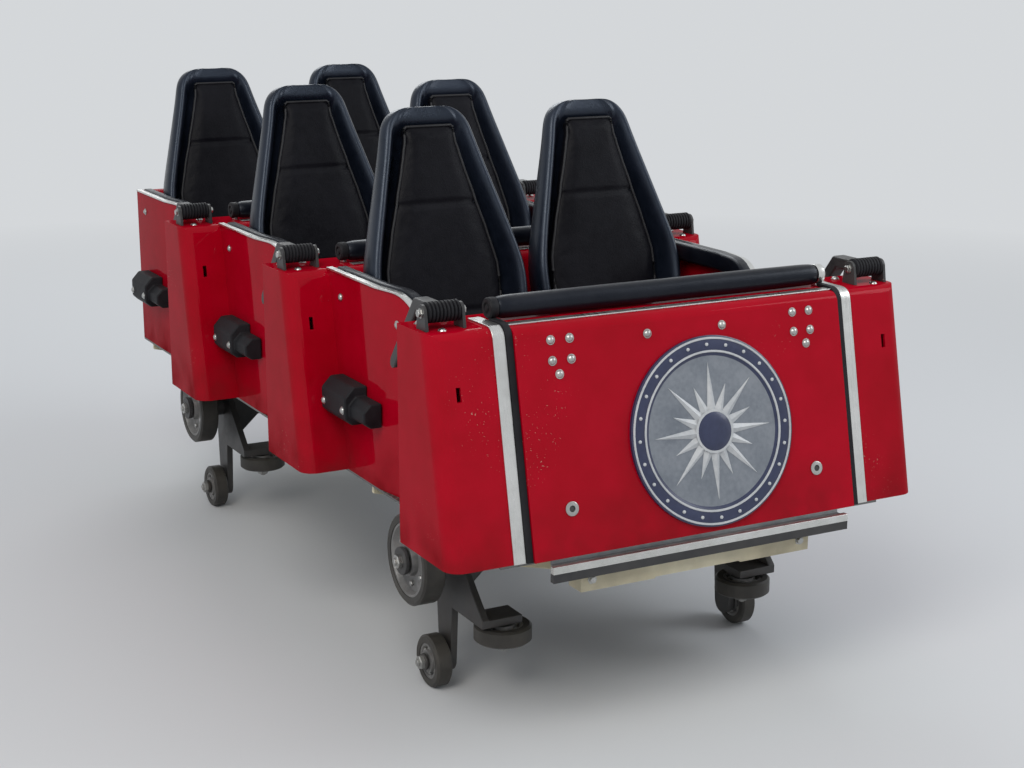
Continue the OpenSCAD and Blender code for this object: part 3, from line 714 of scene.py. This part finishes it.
def base_shell():
    """Moulded seat base with raised sides and a recess for the heels under its front."""
    w, rise = SEAT_W / 2, SEAT_Z - FOOT_Z
    inner, brim = w - SHELL_T, rise + CUSHION_T
    outline = [(-w, 0), (w, 0), (w, brim), (inner, brim), (inner, rise), (-inner, rise),
               (-inner, brim), (-w, brim)]
    base = prism("base_shell", outline, BASE_Y, BACK_Y - BOLSTER_D + 0.040, "Y")
    recess = [(-0.01, -0.01), (0.05, -0.01), (0.042, 0.06), (-0.01, 0.07)]
    cutter = prism("heel_recess", recess, -w - 0.01, w + 0.01)
    put(cutter, Matrix.Translation((0, BASE_Y, 0)))
    modify(base, "BOOLEAN", operation="DIFFERENCE", object=cutter, solver="EXACT")
    dropped(cutter)
    return painted(put(bevelled(base, 0.008, 3), Matrix.Translation((0, 0, FOOT_Z))), FOAM)


def swollen(obj):
    """Remeshes a pad evenly and lets cloth under pressure swell it by a little."""
    modify(obj, "REMESH", mode="VOXEL", voxel_size=PAD_VOXEL)
    rest = [v.co.copy() for v in obj.data.vertices]
    take(obj)
    modifier = obj.modifiers.new("Cloth", "CLOTH")
    modifier.settings.use_pressure = True
    modifier.settings.uniform_pressure_force = 4.0
    modifier.settings.effector_weights.gravity = 0
    modifier.point_cache.frame_end = 22
    scene = bpy.context.scene
    for step in range(1, 21):
        scene.frame_set(step)
    bpy.ops.object.modifier_apply(modifier="Cloth")
    scene.frame_set(1)
    for vertex, old in zip(obj.data.vertices, rest):
        moved = vertex.co - old
        if moved.length > PAD_SWELL:
            vertex.co = old + moved * (PAD_SWELL / moved.length)
    return smooth(obj, 80)


def pressed(obj, axis, seams):
    """Presses sewn channels into a pad, across it at each place along an axis."""
    for vertex in obj.data.vertices:
        near = min(abs(vertex.co[axis] - seam) for seam in seams)
        vertex.co -= vertex.normal * SEW_W * math.exp(-(near / SEW_W) ** 2)
    obj.data.update()


def fitted(obj, low, high):
    """Keeps a soft piece between two corners, so that it stays off its neighbours."""
    for vertex in obj.data.vertices:
        for i in range(3):
            vertex.co[i] = min(max(vertex.co[i], low[i]), high[i])


def seat_cushion():
    """Seat cushion with two sewn channels across it, crowned by pressure."""
    x = SEAT_W / 2 - SHELL_T - 0.006
    front, rear = BASE_Y + 0.014, BACK_Y - 0.068
    outline = [(front, 0.006), (rear - 0.004, 0.006), (rear + 0.006, 0.048),
               (front + 0.030, 0.052), (front, 0.036)]
    pad = swollen(bevelled(prism("seat_cushion", outline, -x, x), 0.012, 3))
    pressed(pad, 1, [front + (rear - front) / 3 * k for k in (1, 2)])
    fitted(pad, (-x - 0.0055, front - 0.005, 0.0005), (x + 0.0055, rear + 0.012, 0.066))
    return painted(put(pad, Matrix.Translation((0, 0, SEAT_Z))), CUSHION)


def back_pad():
    """Pad in a seat back, with a channel under the head and one at the waist."""
    foot = BACK_SINK + CUSHION_T + 0.02
    heights = (foot, 0.20, 0.30, 0.36, 0.43, 0.56, 0.68, 0.76, 0.79, 0.808, 0.818)
    outline = [(half_width(s) - 0.060, s) for s in heights] + [(0.055, 0.826)]
    outline += [(-x, s) for x, s in reversed(outline)]
    pad = prism("back_pad", outline, -SHELL_T - 0.040, -SHELL_T - 0.004, "Y")
    swollen(bevelled(pad, 0.012, 3))
    pressed(pad, 2, (0.30, 0.60))
    fitted(pad, (-1, -SHELL_T - 0.062, 0), (1, -SHELL_T - 0.0005, 1))
    return painted(pad, CUSHION)


def piping(pad):
    """Points of the welt round a back pad: up one side, over the top and down, on its edge."""
    reach = 2 * WELT_R
    near = [v.co for v in pad.data.vertices if abs(v.co.y - WELT_Y) < reach]
    low, high = min(p.z for p in near), max(p.z for p in near)
    up = []
    for i in range(WELT_POINTS):
        rise = math.sin(math.pi / 2 * i / (WELT_POINTS - 1))
        s = low + 0.012 + (high - low - 0.014) * rise
        edge = max(p.x for p in near if abs(p.z - s) < reach)
        up.append((edge, WELT_Y, s))
    return up + [(-x, y, s) for x, y, s in reversed(up)]


def seats():
    shell, base, cushion, pad = back_shell(), base_shell(), seat_cushion(), back_pad()
    welt = painted(tube("welt", piping(pad), WELT_R), SEAM)
    for row in ROWS:
        shells = []
        for side, s in SIDES:
            place = on_back(s * SEAT_X, row)
            flat = Matrix.Translation((s * SEAT_X, ROW_Y[row - 1], 0))
            shells += [copied(shell, matrix=place), copied(base, matrix=flat),
                       copied(welt, matrix=place)]
            for soft, name, matrix in ((cushion, "cushion", flat), (pad, "back_pad", place)):
                piece = copied(soft, f"{name}_{row}_{side}", matrix)
                settle(piece, "pad_black", "seat_cushions", padded=0.7)
        settle(joined(f"seats_{row}", shells), "seat_black", f"seat_shells_{row}")
    dropped(shell, base, cushion, pad, welt)


# Rolls on the dashes

ROLL_R = 0.0305
ROLL_X = PANEL_X - 0.020
ROLL_Y = 0.082
ROLL_UP = 0.031
CAP_R = 0.0255
CAP_T = 0.023


def padded_roll(name, x0, x1, radius, seam_turn):
    """Padded roll along X: full in the middle, drawn in at its ends, with a welt on one side."""
    length, sides = x1 - x0, 32
    stations = [0, 0.004, 0.012, 0.03] + [0.03 + (length - 0.06) * i / 22 for i in range(1, 22)]
    stations += [length - inset for inset in (0.03, 0.012, 0.004, 0)]
    rings = []
    for i, at in enumerate(stations):
        end = min(at, length - at)
        drawn = 1 - 0.16 * math.exp(-(end / 0.009) ** 2) - 0.03 * math.exp(-(end / 0.05) ** 2)
        ring = []
        for k in range(sides):
            a = math.tau * k / sides
            ripple = 0.00035 * math.sin(5 * a + 2.1 * i) * math.exp(-end / 0.12)
            ripple += 0.0003 * math.sin(17 * at + 2 * a)
            welt = 0.0016 * math.exp(-((a - seam_turn) / 0.10) ** 2)
            r = (radius - 0.0022) * drawn + ripple + welt
            ring.append((x0 + at, r * math.cos(a), r * math.sin(a)))
        rings.append(ring)
    roll = loft(name, rings)
    modify(roll, "SUBSURF", levels=1, render_levels=1)
    return painted(smooth(roll, 60), VINYL)


def dash_rolls():
    """Rolls on feet, each with a screwed cap at both ends: bright alloy on the left, and the same
    cap in dark rubber on the right as painted shade.
    """
    rim, face = CAP_T - 0.001, CAP_T - 0.004
    cap = turned([(0, 0), (0, CAP_R - 0.001), (0.002, CAP_R), (face - 0.001, CAP_R),
                  (rim, CAP_R - 0.003), (rim, 0.0145), (face, 0.0135), (face, 0.0080),
                  (rim, 0.0070), (CAP_T, 0)], ALLOY, 32, "X")
    sole = -ROLL_UP + 0.0002
    outline = [(-0.012, sole), (0.012, sole), (0.009, -0.012), (-0.009, -0.012)]
    foot = painted(bevelled(prism("foot", outline, 0.001, 0.013), 0.002), ALLOY)
    for row in ROWS:
        centre = Matrix.Translation((0, ROW_Y[row - 1] + ROLL_Y, DASH_Z + ROLL_UP))
        roll = padded_roll(f"dash_roll_{row}", -ROLL_X, ROLL_X, ROLL_R, math.radians(250))
        settle(put(roll, centre), "pad_black", padded=0.85)
        parts = []
        for _, s in SIDES:
            mirror = Matrix.Scale(s, 4, (1, 0, 0))
            there = centre @ mirror @ Matrix.Translation((ROLL_X, 0, 0))
            # One cap: bright alloy on the left end, and given dark rubber on the right end as
            # painted shade.
            parts.append(painted(copied(cap, matrix=there), ALLOY if s > 0 else RUBBER))
            parts.append(copied(foot, matrix=there))
        settle(joined(f"roll_ends_{row}", parts), "trim_bright", "dash_rolls")
    dropped(cap, foot)


# Lap bars

ARM_L = 0.240
ARM_DROP = 0.170
ARM_W = 0.040
ARM_T = 0.030
BOSS_R = 0.025
BOSS_GROOVE_R = 0.0205
BOSS_RIBS = 9
BOSS_W = 0.084
PIN_R = 0.0101
CRANK = 0.104
CORE_R = 0.012
LAP_R = 0.027
LAP_IN = 0.090


def arm_outline():
    """Side outline of an arm: level over the wing, then cranked down behind it."""
    fall = math.atan(ARM_DROP / (ARM_L - CRANK))
    h = ARM_T / 2
    knee = h * math.tan(fall / 2)
    x, z = h * math.sin(fall), h * math.cos(fall)
    return [(0, h), (CRANK + knee, h), (ARM_L + x, z - ARM_DROP), (ARM_L - x, -z - ARM_DROP),
            (CRANK - knee, -h), (0, -h)]


def lap_bars():
    """Cranked arms on ribbed rubber bosses, each with a padded bar across the lap."""
    arm = prism("arm", arm_outline(), -ARM_W / 2, ARM_W / 2)
    painted(bevelled(arm, 0.005, 3), DARK)
    ribs = [(-BOSS_W / 2, PIN_R)]
    step = BOSS_W / BOSS_RIBS
    for i in range(BOSS_RIBS):
        a = -BOSS_W / 2 + step * i
        ribs += [(a, BOSS_GROOVE_R), (a + 0.25 * step, BOSS_R), (a + 0.75 * step, BOSS_R),
                 (a + step * 0.999, BOSS_GROOVE_R)]
    ribs.append((BOSS_W / 2, PIN_R))
    boss = turned(ribs, RUBBER, 36, "X")
    core = turned([(-0.5, 0), (-0.5, CORE_R), (0.5, CORE_R), (0.5, 0)], DARK, 20, "X")
    for node, pivot in PIVOTS.items():
        if not node.startswith("lap_bar"):
            continue
        x, y, z = pivot
        s = math.copysign(1, x)
        there = Matrix.Translation(pivot)
        outer = abs(x) + ARM_W / 2
        centre = Matrix.Translation((0, y + ARM_L, z - ARM_DROP))
        middle = Matrix.Translation((s * (LAP_IN + outer) / 2, 0, 0))
        length = Matrix.Scale(outer - LAP_IN - 0.004, 4, (1, 0, 0))
        bar = [copied(arm, matrix=there), copied(boss, matrix=there),
               copied(core, matrix=centre @ middle @ length)]
        settle(joined(node + "_arm", bar), "pad_black", node, body=node + "_body")
        x0, x1 = sorted((s * (LAP_IN + 0.001), s * (abs(x) - ARM_W / 2 - 0.004)))
        pad = padded_roll(node + "_pad", x0, x1, LAP_R, math.radians(290))
        settle(put(pad, centre), "pad_black", body=node + "_body", padded=0.85)
    dropped(arm, boss, core)
    dressed("lap_brackets", "lap_bar_brackets", DARK, "steel_dark", 0.0015)


# Round plate on the nose

RAYS = 16
RAY_IN = 0.060
STUDS = 24


def medallion():
    """Blank badge: a navy ring between pale rims, and a grey disc with a plain pale sunburst."""
    low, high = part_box("medallion")
    radius = (high.x - low.x) / 2
    parts = [turned([(0, radius - 0.050), (0, radius), (0.008, radius), (0.010, radius - 0.004),
                     (0.010, radius - 0.040), (0.008, radius - 0.044), (0.006, radius - 0.050)],
                    NAVY, 96)]
    for r in (radius - 0.006, radius - 0.038):
        parts.append(turned([(0.0095, r - 0.004), (0.0118, r - 0.003), (0.0118, r + 0.001),
                             (0.0095, r + 0.002)], PALE, 96))
    disc = radius - 0.048
    parts.append(turned([(0, 0), (0, disc), (0.006, disc), (0.0065, disc - 0.012), (0.0065, 0)],
                        STONE, 96))
    star = []
    for i in range(RAYS * 2):
        a = math.tau * i / (RAYS * 2)
        tip = (radius - 0.066) * (1.0 if i % 4 == 0 else 0.72)
        r = tip if i % 2 == 0 else RAY_IN
        star.append((r * math.cos(a), r * math.sin(a)))
    burst = prism("burst", star, 0.006, 0.0075, "Z")
    for face in edit(burst, "FACE", "DESELECT").faces:
        face.select_set(face.normal.z > 0.9)
    bpy.ops.mesh.poke(offset=0.010)
    bpy.ops.object.mode_set(mode="OBJECT")
    parts.append(painted(burst, PALE))
    parts.append(turned([(0.006, 0.052), (0.012, 0.052), (0.016, 0.046), (0.019, 0.030),
                         (0.020, 0)], NAVY, 48))
    parts.append(turned([(0.012, 0.054), (0.0150, 0.054), (0.0150, 0.048), (0.012, 0.047)],
                        PALE, 48))
    stud = turned([(0.0095, 0.0045), (0.0120, 0.0042), (0.0132, 0.0025), (0.0136, 0)], PALE, 12)
    for i in range(STUDS):
        turn = Matrix.Rotation(math.tau * i / STUDS, 4, "Z")
        parts.append(copied(stud, matrix=turn @ Matrix.Translation((radius - 0.022, 0, 0))))
    badge = joined("nose_badge", parts)
    dropped(stud)
    middle = (low + high) / 2
    point, _ = on_face(middle.x, middle.z - DASH_Z, NOSE_T + 0.0003)
    turn = Matrix.Rotation(math.pi / 2 - RAKE_A, 4, "X")
    settle(put(badge, Matrix.Translation(point) @ turn), "plate_blue", "medallion")


# Underframe and small gear. The seen step blocks are a little smaller than the solid ones.

STEP_L = 0.86
STEP_H = 0.80
STEP_DROP = 0.004
# Below this depth from its top the nose bar is given dark steel paint, as painted shade under its
# bright band.
BAR_SHADE_BELOW_TOP = 0.018
TREAD_T = 0.022
STUD_CIRCLE = 6


def underframe():
    dressed("chassis_frame", "frame", CREAM, "chassis_cream", 0.003)
    plate = painted(node_copy("floor_pan", "floor_plate"), PLATE)
    settle(plate, "pan_grey", "floor_pan")
    for node, name, width in (("front_axle", "axle_front", 0.003),
                              ("rear_axle", "axle_rear", 0.003),
                              ("drawbar", "draw_gear", 0.004),
                              ("chain_dog", "chain_hook", 0.003)):
        dressed(node, name, DARK, "steel_dark", width)
    dressed("brake_fin", "brake_fins", FIN_STEEL, "steel_bright", 0.002)


def step_spot(y, z):
    """Where a point of the solid step blocks lies on the seen ones."""
    low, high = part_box("step_blocks")
    row = max(0, min(2, math.floor((y - high.y) / PITCH + 3)))
    rear = high.y + (row - 2) * PITCH
    middle = (low.z + high.z) / 2 - STEP_DROP
    return rear + (y - rear) * STEP_L, middle + (z - STEP_DROP - middle) * STEP_H


def steps():
    """Rubber step blocks on the side walls."""
    blocks = bevelled(node_copy("step_blocks", "steps"), 0.006, 3)
    for vertex in blocks.data.vertices:
        vertex.co.y, vertex.co.z = step_spot(vertex.co.y, vertex.co.z)
    settle(painted(blocks, RUBBER), "step_black", "step_blocks")


def wheel(name, diameter, width, bore):
    """Wheel about X at the origin: moulded tread, cast rim, web with bolts, and a hub."""
    r, side, hub = diameter / 2, width / 2, bore / 2 + 0.016
    seat = r - TREAD_T
    parts = [turned([(0.005 - side, r), (side - 0.005, r), (side, r - 0.006),
                     (side - 0.001, seat), (0.001 - side, seat), (-side, r - 0.006)],
                    TREAD, 72, "X")]
    web = r - 0.036
    profile = [(side - 0.003, seat - 0.0005), (side - 0.003, seat - 0.007),
               (width * 0.2, web), (width * 0.16, hub + 0.010), (width * 0.22, hub + 0.002),
               (side, hub), (side, bore / 2 + 0.0002)]
    profile += [(-along, radius) for along, radius in reversed(profile)]
    parts.append(turned(profile, CAST, 72, "X"))
    foot = width * 0.17
    bolt = turned([(foot, 0.0075), (foot + 0.006, 0.0075), (foot + 0.008, 0.006),
                   (foot + 0.008, 0)], BRIGHT, 6, "X")
    out = Matrix.Translation((0, 0, (web + hub + 0.006) / 2))
    for i in range(STUD_CIRCLE):
        spot = Matrix.Rotation(math.tau * i / STUD_CIRCLE, 4, "X") @ out
        for s in (1, -1):
            parts.append(copied(bolt, matrix=spot @ Matrix.Scale(s, 4, (1, 0, 0))))
    dropped(bolt)
    return joined(name, parts)


def wheels():
    kinds = {"road": (0.240, 0.060, 0.050), "guide": (0.150, 0.044, 0.030),
             "upstop": (0.140, 0.044, 0.030)}
    templates = {kind: wheel(kind, *sizes) for kind, sizes in kinds.items()}
    for node, pivot in PIVOTS.items():
        kind = node.split("_")[0]
        if kind not in templates:
            continue
        matrix = Matrix.Translation(pivot)
        if kind == "guide":
            matrix = matrix @ Matrix.Rotation(math.pi / 2, 4, "Y")
        piece = copied(templates[kind], node.replace("wheel", "roller"), matrix)
        settle(piece, "wheel_tread", node, body=node + "_body")
    dropped(*templates.values())


def nose_bar():
    """Bar under the nose, bright along its top and given dark steel paint below as painted shade,
    with a grey angle behind it.
    """
    low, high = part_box("front_bar")
    bar = node_copy("front_bar", "nose_bar")
    edit(bar)
    bpy.ops.mesh.bisect(plane_co=(0, 0, high.z - BAR_SHADE_BELOW_TOP), plane_no=(0, 0, 1))
    bpy.ops.object.mode_set(mode="OBJECT")
    painted(bevelled(bar, 0.004, 3), BAR_ALLOY).data.materials.append(DARK)
    # The faces below the bright band take the dark paint: painted shade.
    for face in bar.data.polygons:
        face.material_index = int(face.center.z < high.z - BAR_SHADE_BELOW_TOP)
    settle(bar, "steel_bright", "front_bar")
    front, rear, top, foot = low.y + 0.017, high.y - 0.002, high.z - 0.002, FOOT_Z - 0.001
    sheet, turn_up = 0.0035, 0.004
    outline = [(front, top - sheet), (front, top), (rear - turn_up, top),
               (rear - turn_up, foot), (rear, foot), (rear, top - sheet)]
    angle = prism("nose_plate", outline, low.x + 0.010, high.x - 0.010)
    settle(painted(bevelled(angle, 0.0006, 1), SHELF), "pan_grey")


# Fasteners. Places on the nose are (x, z) from its middle and the dash top.

NOSE_BOLTS = ((0.322, -0.037), (0.373, -0.037), (0.322, -0.085), (0.373, -0.085),
              (0.357, -0.117), (0.108, -0.048))
NOSE_WASHER = (0.357, -0.429)
TAIL_BOLTS_X = (-0.46, -0.15, 0.15, 0.46)
TAIL_BOLTS_DOWN = 0.055
# A side wall turns inwards from WALL_BEND to WALL_FRONT behind its row, by WALL_TOE_IN
WALL_BEND = 0.580
WALL_FRONT = 0.360
WALL_TOE_IN = 0.036
WALL_BOLT = 0.484
WALL_BOLT_X = TUB_X - WALL_TOE_IN * (WALL_BEND - WALL_BOLT) / (WALL_BEND - WALL_FRONT)
# Place to the side, behind the row and under its dash top, and the way out
BODY_BOLTS = ((TUB_X, 0.818, 0.064, (1, 0, 0)), (WALL_BOLT_X, WALL_BOLT, 0.080, (1, -0.16, 0)),
              (0.640, 0.130, 0, (0, 0, 1)), (0.575, 0.130, 0, (0, 0, 1)),
              (0.625, 0.034, 0.0015, (0, -0.2, 1)))
STEP_BOLTS_IN = (0.020, 0.170)
STEP_BOLTS_UP = 0.050
MEMBER_X = 0.285
MEMBER_END = 0.10
MEMBER_UP = 0.02
MEMBER_BOLTS = 9
BUFFER_X = 0.305
BUFFER_DOWN = 0.020
HITCH_BOLT = (0.052, 0.029)
HITCH_T = 0.014
NUT_OUT = {"road": 0.046, "upstop": 0.034}
GUIDE_NUT_DROP = 0.034
PIN_OUT = 0.052


def body_spots():
    """Where the domed bolts of the side walls, the wings and the tail sit."""
    spots = [((s * x, y + behind, DASH_Z - under), (s * way[0], *way[1:]))
             for y in ROW_Y for _, s in SIDES for x, behind, under, way in BODY_BOLTS]
    tail_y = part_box("tail_panel")[1].y
    return spots + [((x, tail_y, DASH_Z - TAIL_BOLTS_DOWN), (0, 1, 0)) for x in TAIL_BOLTS_X]


def step_spots():
    low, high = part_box("step_blocks")
    spots = []
    for y in ROW_Y:
        back = y - ROW_Y[-1] + high.y
        for _, s in SIDES:
            for behind in STEP_BOLTS_IN:
                at = step_spot(back - behind, low.z + STEP_BOLTS_UP)
                spots.append(((s * (high.x - 0.0005), *at), (s, 0, 0)))
    return spots


def frame_spots():
    """Where the hexagon bolts of the side members, the buffers and the hitch sit."""
    low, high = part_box("chassis_frame")
    level = (low.z + high.z) / 2
    pitch = (high.y - low.y - 2 * MEMBER_END) / (MEMBER_BOLTS - 1)
    spots = [((s * MEMBER_X, low.y + MEMBER_END + i * pitch, level + MEMBER_UP), (s, 0, 0))
             for _, s in SIDES for i in range(MEMBER_BOLTS)]
    under_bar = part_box("front_bar")[0].z - BUFFER_DOWN
    spots += [((s * BUFFER_X, low.y, under_bar), (0, -1, 0)) for _, s in SIDES]
    hitch_x, hitch_z = HITCH_BOLT
    return spots + [((x, high.y + HITCH_T, level + z), (0, 1, 0))
                    for x in (-hitch_x, hitch_x) for z in (-hitch_z, hitch_z)]


def pivot_spots():
    """Where the nuts on the wheels' axles and the bolts on the lap bars' pins sit."""
    nuts, pins = [], []
    for node, (x, y, z) in PIVOTS.items():
        kind, s = node.split("_")[0], math.copysign(1, x)
        if kind in NUT_OUT:
            nuts.append(((x + s * NUT_OUT[kind], y, z), (s, 0, 0)))
        elif kind == "guide":
            nuts.append(((x, y, z - GUIDE_NUT_DROP), (0, 0, -1)))
        else:
            pins += [((x + way * PIN_OUT, y, z), (way, 0, 0)) for way in (-1, 1)]
    return nuts, pins


def fasteners():
    dome = turned([(0, 0.0115), (0.0016, 0.0115), (0.0018, 0.0095), (0.0050, 0.0078),
                   (0.0072, 0.0045), (0.0078, 0)], BRIGHT, 18)
    ring = turned([(0, 0.0175), (0.0024, 0.0175), (0.0032, 0.0160), (0.0032, 0.0080),
                   (0.0008, 0.0072), (0, 0.0072)], BRIGHT, 28)
    # The dark socket disc low in the washer's hole is painted shade of the hole.
    socket = turned([(0.0002, 0.0076), (0.0012, 0.0070), (0.0014, 0)], DARK, 28)
    washer = joined("washer", [ring, socket])
    hexagon = turned([(0, 0.0130), (0.0018, 0.0130), (0.0020, 0.0095), (0.0080, 0.0095),
                      (0.0094, 0.0080), (0.0094, 0)], BRIGHT, 6)
    nut = turned([(0, 0.0190), (0.010, 0.0190), (0.0125, 0.0165), (0.0125, 0.0100),
                  (0.0165, 0.0095), (0.0180, 0.0080), (0.0180, 0)], BRIGHT, 6)
    bolts, washers = ([on_face(s * x, z, NOSE_T) for s in (-1, 1) for x, z in spots]
                      for spots in (NOSE_BOLTS, (NOSE_WASHER,)))
    nuts, pins = pivot_spots()
    for name, template, spots in (("nose_bolts", dome, bolts), ("nose_washers", washer, washers),
                                  ("body_bolts", dome, body_spots()),
                                  ("step_bolts", dome, step_spots()),
                                  ("frame_bolts", hexagon, frame_spots()),
                                  ("axle_nuts", nut, nuts), ("pivot_bolts", hexagon, pins)):
        settle(placed(name, template, spots), "steel_bright")
    dropped(dome, washer, hexagon, nut)


mouldings()
trims()
edge_pads()
seats()
dressed("consoles", "middle_consoles", GREY, "console_grey", 0.010, 4)
dash_rolls()
lap_bars()
medallion()
underframe()
steps()
wheels()
nose_bar()
fasteners()


# Floor, light and camera

FLOOR = (0.66, 0.67, 0.68)
BACKDROP = (0.66, 0.68, 0.70)
SKY = (0.86, 0.90, 0.96)
SKY_STRENGTH = 0.5
FADE_FROM = 2.0
FADE_TO = 7.5
LAMPS_AIM = Vector((0, -0.3, 0.6))
# Name, place, size, power in watts and colour
LAMPS = (("key", (-3.6, -4.2, 5.2), 3.5, 210, (1.0, 0.97, 0.92)),
         ("fill", (4.5, -3.0, 3.6), 3.0, 90, (0.92, 0.96, 1.0)),
         ("back", (1.5, 5.0, 4.8), 3.5, 120, (0.95, 0.98, 1.0)))
LENS = 62
EYE = Vector((-2.34, ROW_Y[0] - 3.524, DASH_Z + 0.85))
AIM = Vector((0.0, -0.62, 0.66))


def looked_at(graph):
    """1 where the camera, a reflection or glass looks, and 0 where light only scatters."""
    path = graph.node("LightPath", {}).outputs
    seen = graph.math("MAXIMUM", path["Is Camera Ray"], path["Is Glossy Ray"])
    return graph.math("MAXIMUM", seen, path["Is Transmission Ray"])


def aimed(name, data, place, aim):
    """A lamp or a camera at a place, turned to a point."""
    made = bpy.data.objects.new(name, data)
    made.location = place
    made.rotation_euler = (aim - Vector(place)).to_track_quat("-Z", "Y").to_euler()
    bpy.context.scene.collection.objects.link(made)
    return made


def floor():
    """Pale floor that fades into the backdrop far from the car."""
    bpy.ops.mesh.primitive_plane_add(size=240, location=(0, 0, 0))
    f = Finish("pale_floor", Roughness=0.85, Specular_IOR_Level=0.2, Base_Color=FLOOR)
    far = f.node("VectorMath", {0: f.where}, operation="LENGTH").outputs["Value"]
    fade = f.times(f.ranged(far, FADE_FROM, FADE_TO), looked_at(f))
    haze = f.node("Emission", {"Color": BACKDROP})
    both = f.node("MixShader", {0: fade, 1: f.shader.outputs[0], 2: haze.outputs[0]})
    f.give(f.tree.nodes["Material Output"].inputs["Surface"], both.outputs[0])
    painted(named("floor"), f.material)


def studio():
    """Soft even light from the world and three lamps, before a plain backdrop."""
    world = bpy.data.worlds.new("studio")
    bpy.context.scene.world = world
    world.use_nodes = True
    g = Graph(world.node_tree)
    sky = g.tree.nodes["Background"]
    g.give(sky.inputs["Color"], SKY)
    g.give(sky.inputs["Strength"], SKY_STRENGTH)
    behind = g.node("Background", {"Color": BACKDROP})
    both = g.node("MixShader", {0: looked_at(g), 1: sky.outputs[0], 2: behind.outputs[0]})
    g.give(g.tree.nodes["World Output"].inputs["Surface"], both.outputs[0])
    for name, place, size, power, tint in LAMPS:
        data = bpy.data.lights.new(name, "AREA")
        data.size = size
        data.energy = power
        data.color = tint
        aimed(name, data, place, LAMPS_AIM)
    bpy.context.scene.view_settings.view_transform = "Standard"


def camera():
    """The camera of the photo, turned to take in the whole car."""
    data = bpy.data.cameras.new("camera")
    data.lens = LENS
    bpy.context.scene.camera = aimed("camera", data, EYE, AIM)


floor()
studio()
camera()
